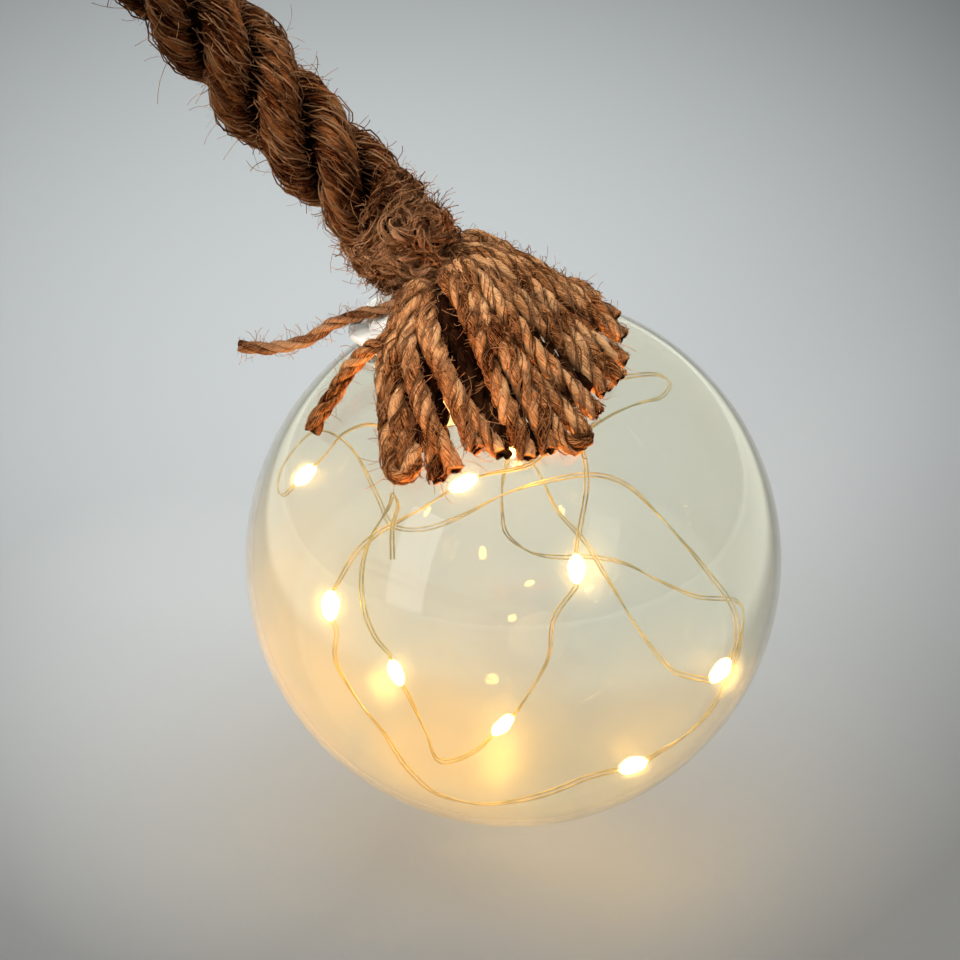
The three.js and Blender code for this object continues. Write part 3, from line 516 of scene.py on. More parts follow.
def jute_finish(name, dark, middle, light, slant=0.9, groove_shade=(0.5, 0.8), gap_shade=(0.72, 0.93)):
    """Fibres that wind along each yarn: streaks of tan and brown, with painted shade that makes them nearly
    black in the grooves and between the yarns.
    """
    finish = Finish(name)
    place, tint = finish.kept("lay", 1), finish.kept("tint")
    run = finish.add("ShaderNodeSeparateXYZ", [place], output=2)
    spin = {"Vector": place, "Angle": run * slant}
    wound = finish.add("ShaderNodeVectorRotate", spin, rotation_type="Z_AXIS")
    lane = finish.add("ShaderNodeCombineXYZ", [tint * 31.0, tint * 17.0, 0.0])

    def drawn_out(stretch, *sizes):
        return finish.noise(finish.vector("ADD", finish.vector("MULTIPLY", wound, stretch), lane), *sizes)

    streaks = drawn_out((3.2, 3.2, 0.34), 1.5, 5, 0.62)
    fine = drawn_out((11, 11, 0.7), 1.6, 3, 0.6)
    patches = finish.noise(finish.place(), 120, 3, 0.6)
    level = streaks * 0.62 + fine * 0.38 + (patches - 0.5) * 0.35 + (tint - 0.5) * 0.16
    colour = finish.ramp(level, (0.4, dark), (0.48, middle), (0.57, light), (0.72, tone(light, 1.35)))
    # Painted shade: the colour goes nearly black deep in the grooves between strands and between the yarns.
    groove = finish.kept("groove") + (streaks - 0.5) * 0.12
    gap = finish.kept("gap") + (fine - 0.5) * 0.1
    groove_unshaded = finish.ramp(groove, (groove_shade[0], 0), (groove_shade[1], 1))
    gap_unshaded = finish.ramp(gap, (gap_shade[0], 0.05), (gap_shade[1], 1))
    colour = finish.mix(groove_unshaded * gap_unshaded, (*tone(dark, 0.3), 1), colour)
    height = streaks * 0.6 + fine * 0.4
    return finish.shade(
        Base_Color=colour,
        Roughness=finish.ramp(level, (0.3, 0.95), (0.7, 0.72)),
        Specular_IOR_Level=0.05,
        Normal=finish.bump(height, 0.0007, 0.9),
    )


def hair_finish(name, colour):
    finish = Finish(name)
    patches = finish.noise(finish.place(), 700, 2)
    tinted = finish.ramp(patches, (0.35, tone(colour, 0.55)), (0.5, colour), (0.66, tone(colour, 1.7)))
    return finish.shade(Base_Color=tinted, Roughness=0.7, Specular_IOR_Level=0.15)


def part_of(body, slot, *pieces):
    """Pieces that move with one body. The slot is not used."""
    for piece in pieces:
        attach(piece, body)


jute = jute_finish(
    "jute", (0.012, 0.002, 0.0008), (0.13, 0.031, 0.006), (0.36, 0.13, 0.04), groove_shade=(0.63, 0.88)
)
# A near-black copy of the jute, painted shade: for the rope's core and the short yarns deep in the fringe.
shaded_jute = jute_finish(
    "shaded jute", (0.002, 0.0006, 0.0003), (0.012, 0.003, 0.001), (0.045, 0.016, 0.005), groove_shade=(0.55, 0.84)
)
# Painted shade between the yarns is left out: no yarn's surface falls in this range.
NO_GAP_SHADE = (0.0, 0.01)
lying_jute = jute_finish(
    "lying fibre", (0.05, 0.012, 0.003), (0.31, 0.115, 0.038), (0.6, 0.31, 0.145),
    groove_shade=(0.56, 0.84), gap_shade=NO_GAP_SHADE,
)
jute_hair = hair_finish("jute fibre", (0.38, 0.19, 0.085))
# Painted shade: the short fuzz gets a darker copy of the loose fibres' colour.
shaded_fuzz = hair_finish("jute fuzz", (0.24, 0.105, 0.042))

ROPE_LAY = {
    "spacing": 0.0009, "strands": 3, "strand_reach": 0.0052, "strand_lay": 0.0435, "strand_start": -0.01,
    "pinch": 0.66, "pinch_length": 0.022,
}
rope_middle = [ROPE_START + Vector(p) * 0.001 for p in ROPE_ROUTE]
inner_end = [ROPE_START - ROPE_AXIS * BINDING_OVERLAP, ROPE_START - ROPE_AXIS * BINDING_OVERLAP / 2]
rope_path = smooth_path([*inner_end, *rope_middle], 0.002)
ROPE_CUT = (rope_middle[-1] - rope_middle[-3]).normalized()
rope = laid(
    "rope", [rope_path], jute, **ROPE_LAY, yarns=8, yarn_reach=0.0024, yarn_lay=-0.024,
    thread_radius=0.00106, sides=9, wander=0.0016, unevenness=0.9, seed=4,
)
rope_lying = laid(
    "rope_lying", [rope_path], lying_jute, **ROPE_LAY, yarns=40, yarn_reach=0.0033, yarn_lay=-0.015,
    thread_radius=0.00014, sides=4, wander=0.005, unevenness=0.8, seed=5,
)
rope_hairs = hairy("rope_hairs", rope, jute_hair, 1000, 0.008, seed=2)
rope_fuzz = hairy("rope_fuzz", rope, shaded_fuzz, 3600, 0.0042, 0.00009, lean=3.0, seed=3)
# Painted shade: a near-black core inside the rope, seen where the strands part.
rope_core = laid(
    "rope_core", [rope_path], shaded_jute, spacing=0.0015, thread_radius=0.0034, sides=12, unevenness=0.3
)
rope_end = laid(
    "rope_cut_end", [[rope_path[-1] - ROPE_CUT * 0.0012, rope_path[-1] + ROPE_CUT * 0.0003]], jute_hair,
    spacing=0.0005, strands=7, strand_reach=0.005, strand_lay=1.0, yarns=7, yarn_reach=0.0021, yarn_lay=1.0,
    thread_radius=0.001, sides=8, unevenness=0.6, seed=7,
)
part_of("rope", "jute", rope, rope_core, rope_end, rope_lying, rope_hairs, rope_fuzz)
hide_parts("jute_rope")


# The rope's upper end: a seizing of jute twine in close turns, and the small twine loop that hangs
# over a hook. Both are outside the photograph's view.
ROPE_END = rope_middle[-1]
CUT_ACROSS = Vector((ROPE_CUT.z, 0, -ROPE_CUT.x))
LOOP_ROUTE = [
    (-2.6, -6), (-2.6, 0), (-3, 4), (-5.6, 11), (-8.9, 18), (-8.9, 25), (-5, 30),
    (0, 31.5), (5, 30), (8.9, 25), (8.9, 18), (5.6, 11), (3, 4), (2.6, 0), (2.6, -6),
]


def turns(start, axis, coil, length, pitch, wobble=0.0, seed=1, lean=0.0):
    """Points of a hand-laid winding about an axis."""
    side = Vector((0, 1, 0)).cross(axis).normalized()
    front = axis.cross(side).normalized()
    dice = random.Random(seed)
    shifts = [dice.uniform(-1, 1) for _ in range(400)]
    steps, points = 24, []
    for i in range(round(length / pitch * steps) + 1):
        angle = tau * i / steps
        quarter = i * 4 / steps
        k = int(quarter)
        stray = shifts[k] + (shifts[k + 1] - shifts[k]) * (quarter - k)
        reach = coil * (1 + 0.03 * wobble * stray)
        rise = pitch * i / steps + lean * cos(angle + 0.6) + 0.0006 * wobble * shifts[k + 60]
        points.append(start + axis * rise + side * reach * cos(angle) + front * reach * sin(angle))
    return points


twine = jute_finish(
    "jute twine", (0.036, 0.009, 0.002), (0.38, 0.15, 0.056), (0.66, 0.36, 0.18),
    slant=1.4, groove_shade=(0.5, 0.8), gap_shade=NO_GAP_SHADE,
)
end_turns = turns(
    ROPE_END - ROPE_CUT * 0.0103, ROPE_CUT, coil=0.0093, length=0.0096, pitch=0.0021, wobble=0.4, seed=3
)
seizing = laid(
    "end_seizing", [end_turns], twine, strands=2, strand_reach=0.00048, strand_lay=0.0062,
    thread_radius=0.00062, sides=8, wander=0.0002, unevenness=0.3,
)
loop_foot = ROPE_END + ROPE_CUT * 0.0003
loop_points = [
    loop_foot + CUT_ACROSS * across * 0.001 + ROPE_CUT * along * 0.001 for across, along in LOOP_ROUTE
]
loop = laid(
    "twine_loop", [loop_points], twine, strands=3, strand_reach=0.00066, strand_lay=0.0095,
    thread_radius=0.00082, sides=9, wander=0.0002, unevenness=0.2, seed=6,
)
loop_hairs = hairy("loop_hairs", loop, jute_hair, 260, 0.003, seed=8)
part_of("rope", "twine", seizing, loop, loop_hairs)
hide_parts("end_whipping")
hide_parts("hanging_loop")


# The binding: jute twine drawn tight round the rope's yarns and the ball-headed post inside them, in
# uneven turns with a few slack ones across, its loose tail stands off to the left.
BINDING_START = Vector((0.08389, 0, -0.11051))
TAIL_ROUTE = [
    (-1.2, -7.9, 0.4), (-3.4, -7.5, -2.2), (-6, -6.6, -5), (-8, -6.6, -5.8), (-10.6, -6.3, -6.4),
    (-13.3, -6, -7.4), (-16.8, -5.7, -8.8), (-20, -5.4, -11.3), (-24.2, -5.2, -12.9),
    (-28.3, -4.8, -13.5), (-32.9, -4.4, -13.3),
]
SLACK_TURNS = [(0.003, -0.0034), (0.0052, 0.0042), (0.0078, -0.0036), (0.0088, 0.0046), (0.0064, -0.005)]
KNOTS = [(0.0095, 0.001, 0.0068, (0.4, -0.5, 0.9)), (0.007, 0.0045, 0.006, (0.9, -0.4, 0.3))]
ROPE_SIDE = Vector((ROPE_AXIS.z, 0, -ROPE_AXIS.x))

first_turn = BINDING_START + ROPE_AXIS * 0.0012
binding_routes = [
    turns(first_turn, ROPE_AXIS, coil=0.0072, length=0.0106, pitch=0.0015, wobble=1.3, seed=11, lean=0.0012)
]
for i, (rise, lean) in enumerate(SLACK_TURNS):
    slack = {"coil": 0.0078, "length": 0.0033, "pitch": 0.0029, "wobble": 2.2, "lean": lean}
    binding_routes.append(turns(BINDING_START + ROPE_AXIS * rise, ROPE_AXIS, **slack, seed=20 + i))
for i, (along, across, out, axis) in enumerate(KNOTS):
    knot_middle = BINDING_START + ROPE_AXIS * along + ROPE_SIDE * across + Vector((0, -out, 0))
    knot = {"coil": 0.0025, "length": 0.0022, "pitch": 0.0016, "wobble": 5}
    binding_routes.append(turns(knot_middle, Vector(axis).normalized(), **knot, seed=50 + i))
binding = laid(
    "binding", binding_routes, twine, strands=2, strand_reach=0.00042, strand_lay=0.0062,
    thread_radius=0.00052, sides=7, wander=0.0014, unevenness=0.9, seed=12,
)
tail = laid(
    "binding_tail_end", [[BINDING_START + Vector(p) * 0.001 for p in TAIL_ROUTE]], twine,
    strands=3, strand_reach=0.00056, strand_lay=0.0105,
    thread_radius=0.00064, sides=9, wander=0.0007, unevenness=0.5, seed=13,
)
binding_lying = laid(
    "binding_lying", binding_routes, lying_jute, strands=9, strand_reach=0.0011, strand_lay=0.011,
    thread_radius=0.00014, sides=4, wander=0.0036, unevenness=0.8, seed=17,
)
binding_hairs = hairy("binding_hairs", binding, jute_hair, 800, 0.006, seed=14)
binding_fuzz = hairy("binding_fuzz", binding, shaded_fuzz, 2600, 0.0036, 0.00009, lean=3.0, seed=16)
tail_hairs = hairy("tail_hairs", tail, jute_hair, 220, 0.0032, seed=15)
part_of("rope", "twine", binding, tail, binding_lying, binding_hairs, binding_fuzz, tail_hairs)
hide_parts("neck_whipping")
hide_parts("binding_tail")


# The fringe: the rope's own yarns, unlaid below the binding, three plies each. They arch over the lid
# and lie on the ball's shoulder; some are folded back under themselves, one strays to the left.
NECK_TURN = Euler((0, radians(-16.5), 0)).to_matrix()
FLANGE_TOP, LID_TOP, LID_RADIUS, FLANGE_RADIUS = 0.05323, 0.05493, 0.012, 0.0155
YARN_RADIUS = 0.0017
BUNDLE_RING = 0.0049
YARN_ENDS = [
    (-10, -23, -17, 42, 0), (-6, -16, -12, 44, 1.5), (-5, -14, -5, 46.3, 0), (-2, -9, 0.5, 45.5, 1.8),
    (1, -3, 6.8, 42.5, 1.2), (6, 4, 13, 44.5, 0.4), (29, 24, 18.5, 47.6, 1.8), (31, 30, 24.5, 48.2, 0.6),
    (34, 35, 34, 47.2, 1), (42, 43, 41, 46.5, 1.8), (50, 51, 49, 43.5, 0), (58, 59, 56, 43.5, 1),
    (67, 68, 64, 42, 0), (76, 78, 75, 39, 0.6), (88, 90, 87, 36.8, 0),
    (102, 104, 100, 34, 0.6), (118, 120, 113, 34.5, 0), (134, 136, 130, 32.5, 0.8), (151, 153, 147, 34, 0),
    (169, 171, 166, 33, 0.8), (184, 184, 182, 35, 0), (198, 196, 195, 34, 0.6),
]
UNDER_YARNS = [
    (-17, -14.5, 38), (-10, -8, 39), (-2, -2, 40), (8, 9, 41), (13, 13.5, 45), (18, 17, 43),
    (25, 21.5, 47.2), (29, 27, 42), (40, 38, 42), (48, 46, 41), (60, 60, 38),
]
BACK_YARNS = [
    (71, 72, 34), (83, 83, 32), (96, 97, 31), (110, 111, 30), (126, 127, 29), (142, 143, 29),
    (160, 161, 29), (177, 177, 30), (191, 190, 30), (205, 203, 30),
]
STRAY_TURN = -8
STRAY_YARN = [
    (-18, 18, 6.3), (-34, 19, 4.9), (-46.7, 21.4, 2.8), (-51.8, 25, 1.4), (-53.5, 28.4, 0.6),
    (-55.6, 32.2, 0.2), (-55.8, 35.3, 0),
]


def round_neck(reach, turn, height):
    angle = radians(turn)
    return BALL_CENTRE + NECK_TURN @ Vector((reach * sin(angle), -reach * cos(angle), height))


def round_rope(turn, reach, along):
    angle = radians(turn)
    outward = ROPE_SIDE * sin(angle) + Vector((0, -1, 0)) * cos(angle)
    return BINDING_START + ROPE_AXIS * along + outward * reach


def over_ball(turn, angle, height):
    reach, tilt = BALL_RADIUS + height, radians(angle)
    return round_neck(reach * sin(tilt), turn, reach * cos(tilt))


LID_OUT, LID_UP, FLANGE_OUT, FLANGE_DOWN = 0.0008, 0.003, 0.0038, 0.0004
FOLD_BACK = [
    (0.0018, 0.0014, 0.0), (0.0012, 0.0033, -0.0001), (-0.003, 0.0034, -0.0002), (-0.009, 0.0026, 0.0004),
]


def yarn_route(lid_turn, turn, tip_turn, tip_angle, ride, dice, folded):
    """A yarn out of the bundle, over the lid and the flange to its tip on the ball."""
    ride = ride * 0.001
    tip = over_ball(tip_turn, tip_angle, YARN_RADIUS + 0.0002 + ride / 3)
    ride += dice.uniform(-0.0004, 0.0012)
    over_lid = round_neck(LID_RADIUS + LID_OUT, lid_turn + dice.uniform(-3, 3), LID_TOP + LID_UP + ride)
    flange_turn = turn + dice.uniform(-3.5, 3.5)
    past_flange = round_neck(FLANGE_RADIUS + FLANGE_OUT, flange_turn, FLANGE_TOP - FLANGE_DOWN + ride)
    up = (past_flange.lerp(tip, 0.5) - BALL_CENTRE).normalized()
    on = (tip - past_flange).normalized()
    across = on.cross(up).normalized()
    on_ball = BALL_CENTRE + up * (BALL_RADIUS + YARN_RADIUS + 0.0012 + ride / 2)
    points = [
        round_rope(lid_turn - 25, BUNDLE_RING * 0.9, 0.006),
        round_rope(lid_turn - 8, BUNDLE_RING, YARN_RADIUS),
        round_rope(lid_turn, BUNDLE_RING, -YARN_RADIUS), over_lid, past_flange,
        on_ball + across * dice.uniform(-0.0016, 0.0016), tip,
    ]
    if folded:
        points[-1] = tip + across * 0.0004 * folded
        for ahead, aside, rise in FOLD_BACK:
            points.append(tip + on * ahead - across * aside * folded + up * rise)
    return points


dice = random.Random(31)
FOLDED = {0: 1, 8: -1}
yarn_routes = [yarn_route(*end, dice, FOLDED.get(i, 0)) for i, end in enumerate(YARN_ENDS)]
stray_route = [
    round_rope(STRAY_TURN, BUNDLE_RING, 0.004), round_rope(STRAY_TURN, BUNDLE_RING, -YARN_RADIUS),
    round_neck(LID_RADIUS + LID_OUT, STRAY_TURN, LID_TOP + LID_UP),
    *[over_ball(turn, angle, 0.00175 + height * 0.001) for turn, angle, height in STRAY_YARN],
]
fringe_jute = jute_finish(
    "jute yarn", (0.03, 0.006, 0.001), (0.52, 0.19, 0.055), (0.8, 0.43, 0.19),
    slant=0.75, groove_shade=(0.6, 0.86), gap_shade=NO_GAP_SHADE,
)
YARN_LAY = {
    "strands": 3, "strand_reach": 0.00078, "strand_lay": 0.0115, "thread_radius": 0.00092,
    "wander": 0.001, "unevenness": 0.9,
}


def under_yarns(name, ends, material, seed):
    """Shorter yarns close against the neck, seen between the outer ones."""
    routes = []
    for turn, tip_turn, tip_angle in ends:
        routes.append([
            round_rope(turn, BUNDLE_RING * 0.8, 0.004), round_rope(turn, BUNDLE_RING * 0.85, -YARN_RADIUS),
            round_neck(LID_RADIUS + 0.0004, turn, LID_TOP + 0.0018),
            round_neck(FLANGE_RADIUS + 0.0026, turn, FLANGE_TOP - 0.0012),
            over_ball(tip_turn, min(30, tip_angle - 3), YARN_RADIUS * 0.9),
            over_ball(tip_turn, tip_angle, YARN_RADIUS * 0.8),
        ])
    return laid(name, routes, material, **YARN_LAY, spacing=0.0009, sides=8, seed=seed)


fringe = laid("yarn_fringe", yarn_routes, fringe_jute, **YARN_LAY, spacing=0.0008, sides=9, seed=33)
# Painted shade: the short front yarns are near black; the back ones are plain jute.
under = under_yarns("under_yarns", UNDER_YARNS, shaded_jute, 39)
back = under_yarns("back_yarns", BACK_YARNS, jute, 40)
fringe_lying = laid(
    "fringe_lying", yarn_routes, lying_jute, spacing=0.0008, strands=20, strand_reach=0.00145,
    strand_lay=0.0095, thread_radius=0.0001, sides=4, wander=0.0026, unevenness=0.8, seed=38,
)
stray = laid(
    "stray_yarn", [stray_route], fringe_jute, strands=3, strand_reach=0.00074, strand_lay=0.0105,
    thread_radius=0.00086, sides=9, wander=0.0008, unevenness=0.7, seed=34,
)
fringe_hairs = hairy("fringe_hairs", fringe, jute_hair, 1100, 0.0052, seed=35)
fringe_fuzz = hairy("fringe_fuzz", fringe, shaded_fuzz, 3400, 0.0032, 0.00008, lean=3.0, seed=37)
stray_hairs = hairy("stray_hairs", stray, jute_hair, 180, 0.003, seed=36)
part_of("rope", "jute", fringe, fringe_lying, under, back, stray, fringe_hairs, fringe_fuzz, stray_hairs)
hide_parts("rope_fringe")


# The ball: clear glass blown to a thin even wall, with a short collar at the neck. A pale yellow-green
# lustre on it scatters a little of the lights' glow, and a painted amber glow is added close to the lights.
GLASS_WALL, COLLAR_WALL = 0.0012, 0.0013
COLLAR_RADIUS, BORE_RADIUS, COLLAR_TOP, COLLAR_FILLET = 0.0149, 0.0136, 0.05133, 0.002


def arc(centre, radius, start, end, steps):
    angles = [start + (end - start) * i / steps for i in range(steps + 1)]
    return [(centre[0] + radius * cos(a), centre[1] + radius * sin(a)) for a in angles]


def smooth_object(name, mesh, material):
    """A finished bmesh as a smooth object."""
    data = bpy.data.meshes.new(name)
    mesh.to_mesh(data)
    mesh.free()
    data.shade_smooth()
    data.materials.append(material)
    return in_scene(name, data)


def spun(name, profile, segments, material):
    """A closed solid of revolution from a profile of (radius, height), in the neck's frame."""
    mesh = bmesh.new()
    rings = []
    for radius, height in profile:
        angles = [tau * k / segments for k in range(segments if radius > 0 else 1)]
        rings.append([mesh.verts.new((radius * cos(a), radius * sin(a), height)) for a in angles])
    for low, high in zip(rings, rings[1:]):
        for k in range(segments):
            places = ((low, k), (low, k + 1), (high, k + 1), (high, k))
            corners = dict.fromkeys(ring[step % len(ring)] for ring, step in places)
            mesh.faces.new(list(corners))
    mesh.transform(Matrix.Translation(BALL_CENTRE) @ NECK_TURN.to_4x4())
    return smooth_object(name, mesh, material)


def bend(foot, radius, steps):
    """The blown fillet from the ball's wall into the collar's."""
    level = foot[1] + COLLAR_FILLET * foot[0] / foot[1]
    corner, top = (radius, level), (radius, level + COLLAR_FILLET / 2)
    curve = []
    for i in range(1, steps + 1):
        t = i / steps
        parts = ((1 - t) ** 2, 2 * t * (1 - t), t * t)
        curve.append(tuple(sum(s * p[k] for s, p in zip(parts, (foot, corner, top))) for k in (0, 1)))
    return curve


# Painted glow: round these places by the lights the glass is tinted amber and its lustre glows amber.
PAINTED_GLOW_SPOTS = [(-15, -46, -15), (-36, -34, -4), (20, -43, -17)]
PAINTED_GLOW_WIDTH = 0.06
PAINTED_GLOW_TINT, PAINTED_GLOW_EDGE_TINT, CLEAR_TINT = (1, 0.93, 0.76), (0.98, 0.965, 0.88), (0.965, 0.97, 0.91)


def glass_finish():
    """Clear glass under a thin lustre, which scatters a share of the light and is uneven in strength; close
    to the lights a painted amber glow is added to its tint and emission.
    """
    finish = Finish("lustred glass")
    place = finish.place()
    drawn = finish.bump(finish.noise(place, 22, 2), 0.0006, 0.12)
    painted_glow_places = [tuple(BALL_CENTRE + Vector(spot) * 0.001) for spot in PAINTED_GLOW_SPOTS]
    first, second, third = [finish.vector("DISTANCE", place, spot, output=1) for spot in painted_glow_places]
    nearest_painted_glow = first.math("MINIMUM", second).math("MINIMUM", third * 0.75 + 0.018)
    painted_glow_distance = nearest_painted_glow + (finish.noise(place, 35, 2) - 0.5) * 0.02
    # Painted glow: the glass's tint turns amber close to the lights.
    tint = finish.ramp(painted_glow_distance / PAINTED_GLOW_WIDTH, (0.15, PAINTED_GLOW_TINT), (0.5, PAINTED_GLOW_EDGE_TINT), (0.85, CLEAR_TINT))
    clear = finish.principled(
        Base_Color=tint, Roughness=0.01, IOR=1.46, Transmission_Weight=1.0, Normal=drawn
    )
    # Painted glow: the lustre's emission is amber close to the lights and fades away from them.
    painted_glow_stops = (0.08, (1, 0.46, 0.05)), (0.35, (0.42, 0.22, 0.05)), (0.7, (0.02, 0.015, 0.004))
    film = finish.principled(
        Base_Color=(0.7, 0.7, 0.57, 1), Roughness=0.45, IOR=1.35, Transmission_Weight=0.6, Normal=drawn,
        Emission_Color=finish.ramp(painted_glow_distance / PAINTED_GLOW_WIDTH, *painted_glow_stops), Emission_Strength=3.1,
    )
    share = finish.ramp(finish.noise(place, 30, 3), (0.35, 0.05), (0.65, 0.1))
    return finish.close(finish.add("ShaderNodeMixShader", [share, clear, film]))


inner_radius = BALL_RADIUS - GLASS_WALL
outer_start = acos((COLLAR_RADIUS + COLLAR_FILLET) / BALL_RADIUS)
inner_start = acos((BORE_RADIUS + COLLAR_FILLET) / inner_radius)
outside = arc((0, 0), BALL_RADIUS, -pi / 2, outer_start, 84)
inside = arc((0, 0), inner_radius, inner_start, -pi / 2, 84)
lip = arc((BORE_RADIUS + COLLAR_WALL / 2, COLLAR_TOP - COLLAR_WALL / 2), COLLAR_WALL / 2, 0, pi, 10)
glass_profile = [
    (0, -BALL_RADIUS), *outside[1:], *bend(outside[-1], COLLAR_RADIUS, 8), *lip,
    *reversed(bend(inside[0], BORE_RADIUS, 8)), *inside[:-1], (0, -inner_radius),
]
glass = spun("glass", glass_profile, 128, glass_finish())
glass.visible_shadow = glass.visible_diffuse = False
part_of("ball", "glass", glass)
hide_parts("glass_ball")


# The string of lights: lacquered copper wires in a loose twisted pair, with resin drops over warm white
# chips, pushed in through the neck and left to spring out into loops. Its end is cut and twisted off.
LIGHT_RADIUS, LIGHT_LENGTH, WIRE_RADIUS, CLEARANCE, INTO_DROP = 0.0015, 0.0054, 0.00045, 0.0003, 0.0004
STRING_ROUTES = {
    "light_01": [(-14, 2, 25), (-20, -7, 27), (-25, -11, 32), (-30, -13, 31), (-33, -15, 28), (-37, -15, 24)],
    "light_02": [
        (-41, -13, 19), (-43, -4, 17), (-42, 3, 19), (-37, 12, 21), (-31, 19, 14), (-26, 16, 5),
        (-23, 8, 3), (-17, 0, 6), (-10, -3, 10), (-1, -3, 15), (7, -4, 18), (14, -6, 20),
        (20, -8, 19), (26, -13, 15), (33, -17, 8), (39, -19, 0), (40, -20, -7), (37, -23, -11),
    ],
    "light_03": [
        (35, -23, -13), (31, -23, -12), (28, -22, -11), (23, -11, -9), (18, 1, -5), (14, 11, -2),
        (9, 18, 1), (6, 22, 6), (4, 22, 13),
    ],
    "light_04": [
        (9, 21, 22), (18, 19, 28), (26, 13, 32), (29, 9, 32), (27, 4, 31), (23, -1, 32),
        (17, -7, 32), (11, -14, 31), (5, -19, 30), (2, -22, 29), (-4, -25, 29), (-9, -27, 28),
    ],
    "light_05": [
        (-15, -27, 24), (-20, -25, 20), (-24, -24, 17), (-28, -24, 13), (-31, -28, 9), (-32, -30, 6),
    ],
    "light_06": [
        (-31, -32, 2), (-31, -34, -3), (-27, -36, -10), (-23, -37, -15), (-19, -36, -23), (-14, -32, -31),
        (-7, -31, -34), (-1, -32, -33), (6, -35, -29), (13, -36, -25), (21, -34, -24),
    ],
    "light_07": [
        (25, -33, -22), (30, -28, -22), (35, -22, -21), (40, -14, -18), (43, -7, -13), (43, -1, -9),
        (36, 9, -13), (29, 18, -14), (23, 25, -14), (16, 28, -14), (10, 26, -13), (4, 20, -9),
        (-1, 14, -2), (-2, 8, 6), (-2, 2, 15), (0, -3, 24),
    ],
    "light_08": [
        (4, -5, 29), (9, -5, 29), (12, -6, 26), (13, -9, 20), (12, -14, 15), (11, -17, 11), (11, -20, 8),
    ],
    "light_09": [(11, -21, 5), (7, -22, -1), (6, -21, -10), (2, -20, -19), (0, -19, -23), (-2, -19, -25)],
    "light_10": [
        (-6, -20, -29), (-10, -21, -31), (-14, -23, -30), (-16, -25, -23), (-19, -28, -13), (-21, -29, -8),
    ],
    "string_tail": [
        (-22, -28, -5), (-25, -26, -2), (-27, -23, 3), (-27, -20, 9), (-25, -20, 15), (-22, -24, 22),
        (-21, -27, 26), (-20, -30, 25), (-21, -31, 22), (-21, -34, 17),
    ],
}


def inside_ball(place, room):
    place = Vector(place) * 0.001
    most = inner_radius - 2 * CLEARANCE - room
    return place if place.length <= most else place * (most / place.length)


def wire_finish(name, dull, middle, bright):
    finish = Finish(name)
    patches = finish.noise(finish.place(), 240, 2)
    colour = finish.ramp(patches, (0.35, dull), (0.5, middle), (0.65, bright))
    dents = finish.bump(patches, 0.0001, 0.2)
    return finish.shade(Base_Color=colour, Metallic=0.75, Roughness=0.38, Normal=dents)


def light_finish():
    finish = Finish("lit resin drop")
    stops = (0.0, (0.6, 0.36, 0.09)), (0.45, (1, 0.8, 0.27)), (0.62, (0.06, 0.052, 0.035))
    glow = finish.ramp(finish.kept("heat"), *stops)
    return finish.shade(
        Base_Color=(1, 0.86, 0.6, 1), Roughness=0.15, IOR=1.5, Emission_Color=glow, Emission_Strength=125.0
    )


def resin_drop(middle, direction, material, name):
    """A drop of resin along its wire, a little lumpy, with the glow's heat kept at each point."""
    mesh = bmesh.new()
    heat = mesh.verts.layers.float.new("heat")
    bmesh.ops.create_uvsphere(mesh, u_segments=20, v_segments=14, radius=1)
    turn = direction.to_track_quat("Z", "Y").to_matrix()
    for v in mesh.verts:
        x, y, z = v.co
        v[heat] = max(0.0, 1 - abs(z) ** 2.2)
        lump = 1 + 0.07 * sin(5 * z + 3 * x) + 0.05 * cos(4 * y - 2 * z)
        waist = LIGHT_RADIUS * lump * (1 - 0.12 * z * z)
        v.co = BALL_CENTRE + middle + turn @ Vector((x * waist, y * waist * 0.86, z * LIGHT_LENGTH / 2))
    return smooth_object(name, mesh, material)


wire_metal = wire_finish("lacquered wire", (0.32, 0.28, 0.13), (0.53, 0.43, 0.19), (0.74, 0.55, 0.25))
tail_metal = wire_finish("green lacquer", (0.1, 0.13, 0.07), (0.24, 0.25, 0.12), (0.5, 0.42, 0.2))
lit = light_finish()
neck_axis = NECK_TURN @ Vector((0, 0, 1))
run = [neck_axis * height for height in (0.0352, 0.0337, 0.0307)]
routes = list(STRING_ROUTES.items())
for i, (name, places) in enumerate(routes):
    points = [inside_ball(p, WIRE_RADIUS) for p in places]
    label, wire_end, next_run, metal = "tail", points[-1], [], tail_metal
    if name != "string_tail":
        label, metal = name[-2:], wire_metal
        middle = inside_ball(places[-1], LIGHT_RADIUS + CLEARANCE)
        direction = (inside_ball(routes[i + 1][1][0], WIRE_RADIUS) - points[-2]).normalized()
        drop = resin_drop(middle, direction, lit, "drop_" + label)
        part_of("ball", "light", drop)
        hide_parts(name)
        wire_end = middle - direction * (LIGHT_LENGTH / 2 - INTO_DROP)
        next_run = [middle + direction * (LIGHT_LENGTH / 2 - INTO_DROP)]
    route = [BALL_CENTRE + p for p in [*run, *points[:-1], wire_end]]
    pair = laid(
        "pair_" + label, [route], metal,
        spacing=0.0015, strands=2, strand_reach=0.00032, strand_lay=0.075, strand_start=0.13 * i,
        thread_radius=0.00018, sides=6, wander=0.0003, seed=40 + i,
    )
    part_of("ball", "wire", pair)
    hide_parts(name.replace("light", "wire"))
    run = next_run


# The battery holder and its lid: white moulded plastic, a stepped cup in the neck with the switch in
# its flange, and the lid with the post that the rope is tied to. Only its left edge shows.
SHARP = radians(35)


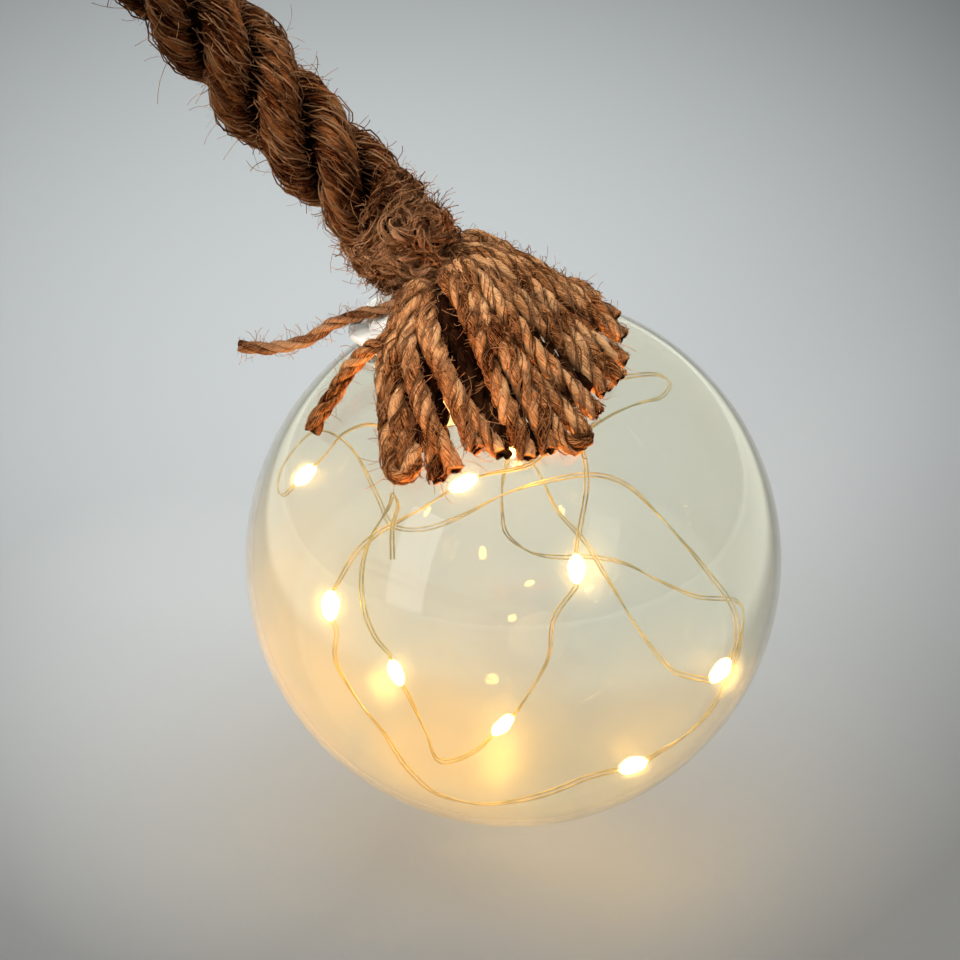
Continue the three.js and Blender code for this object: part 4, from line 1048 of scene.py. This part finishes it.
def refined(name, node, body, slot, material, edge=0.00012):
    """A copy of a hard piece with its points merged, its edges eased and its round faces smooth."""
    made = in_scene(name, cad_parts[node].data.copy())
    mesh = bmesh.new()
    mesh.from_mesh(made.data)
    bmesh.ops.remove_doubles(mesh, verts=mesh.verts, dist=1e-6)
    for face in mesh.faces:
        face.smooth = True
    for line in mesh.edges:
        line.smooth = len(line.link_faces) == 2 and line.calc_face_angle() < SHARP
    mesh.to_mesh(made.data)
    mesh.free()
    made.data.materials.clear()
    made.data.materials.append(material)
    eased = made.modifiers.new("eased edges", "BEVEL")
    eased.width = edge
    eased.segments = 2
    eased.limit_method = "ANGLE"
    eased.angle_limit = SHARP
    part_of(body, slot, made)
    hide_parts(node)


WORN = 0.88


def plastic_finish(name, colour, grain=1500):
    finish = Finish(name)
    place = finish.place()
    cloud = finish.noise(place, 90, 3)
    fine = finish.noise(place, grain, 3, 0.6)
    return finish.shade(
        Base_Color=finish.ramp(cloud, (0.35, tone(colour, WORN)), (0.6, colour)),
        Roughness=finish.ramp(fine, (0.3, 0.38), (0.7, 0.52)),
        Normal=finish.bump(fine, 0.00004, 0.4),
    )


white_plastic = plastic_finish("white plastic", (0.86, 0.85, 0.8))
black_plastic = plastic_finish("black plastic", (0.03, 0.03, 0.032), 2400)
for row in (
    ("holder_cup", "battery_holder", "ball", "white_plastic", white_plastic),
    ("twist_lid", "battery_lid", "rope", "white_plastic", white_plastic),
    ("slide_switch", "switch_slider", "switch", "slider", black_plastic),
):
    refined(*row)


# Inside the holder: two button cells, the spring under them on the round board, the strip up the
# cup's side to the upper can, the disc under the lid, and the rubber ring that grips the glass neck.
def steel_finish(name, colour, roughness):
    finish = Finish(name)
    place = finish.place()
    drawn = finish.noise(finish.vector("MULTIPLY", place, (400, 400, 3000)), 1, 3, 0.6)
    return finish.shade(
        Base_Color=finish.ramp(drawn, (0.3, tone(colour, 0.86)), (0.7, colour)),
        Metallic=1.0,
        Roughness=finish.ramp(drawn, (0.3, roughness * 0.8), (0.7, roughness * 1.3)),
        Normal=finish.bump(drawn, 0.00002, 0.3),
    )


def board_finish():
    finish = Finish("green board")
    inputs = {"Vector": finish.place(), "Scale": 420.0}
    tracks = finish.add("ShaderNodeTexVoronoi", inputs, feature="DISTANCE_TO_EDGE") > 0.12
    colour = finish.mix(tracks, (0.1, 0.24, 0.09, 1), (0.03, 0.13, 0.05, 1))
    return finish.shade(Base_Color=colour, Roughness=0.35, Normal=finish.bump(tracks, 0.00004, 0.5))


def rubber_finish():
    finish = Finish("grip rubber")
    bloom = finish.noise(finish.place(), 600, 4, 0.6)
    colour = finish.ramp(bloom, (0.3, 0.02), (0.7, (0.05, 0.05, 0.052)))
    return finish.shade(Base_Color=colour, Roughness=0.75, Normal=finish.bump(bloom, 0.00005, 0.4))


spring_steel = steel_finish("spring steel", (0.72, 0.72, 0.73), 0.25)
cell_steel = steel_finish("plated can", (0.8, 0.79, 0.77), 0.32)
for row in (
    ("upper_cell", "coin_cell_upper", "ball", "cell", cell_steel),
    ("lower_cell", "coin_cell_lower", "ball", "cell", cell_steel),
    ("round_board", "circuit_board", "ball", "board", board_finish()),
    ("spring_disc", "pressure_disc", "rope", "steel", spring_steel),
    ("can_contact", "side_contact", "ball", "steel", spring_steel),
    ("neck_grip", "grip_ring", "ball", "rubber", rubber_finish()),
):
    refined(*row, edge=0.00006)

SPRING_FOOT, SPRING_HEIGHT, SPRING_WIRE, SPRING_TURNS = 0.03683, 0.0028, 0.0008, 2.5
SPRING_WIDE, SPRING_NARROW = 0.007, 0.0034
spring_points = []
for i in range(61):
    share = i / 60
    turn = tau * SPRING_TURNS * share
    reach = SPRING_WIDE + (SPRING_NARROW - SPRING_WIDE) * share
    level = SPRING_FOOT + SPRING_WIRE / 2 + (SPRING_HEIGHT - SPRING_WIRE) * share
    spot = Vector((reach * cos(turn), reach * sin(turn), level))
    spring_points.append(BALL_CENTRE + NECK_TURN @ spot)
spring = laid(
    "cell_spring", [spring_points], spring_steel, thread_radius=SPRING_WIRE / 2, sides=10, spacing=0.0009
)
part_of("ball", "steel", spring)
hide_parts("contact_spring")
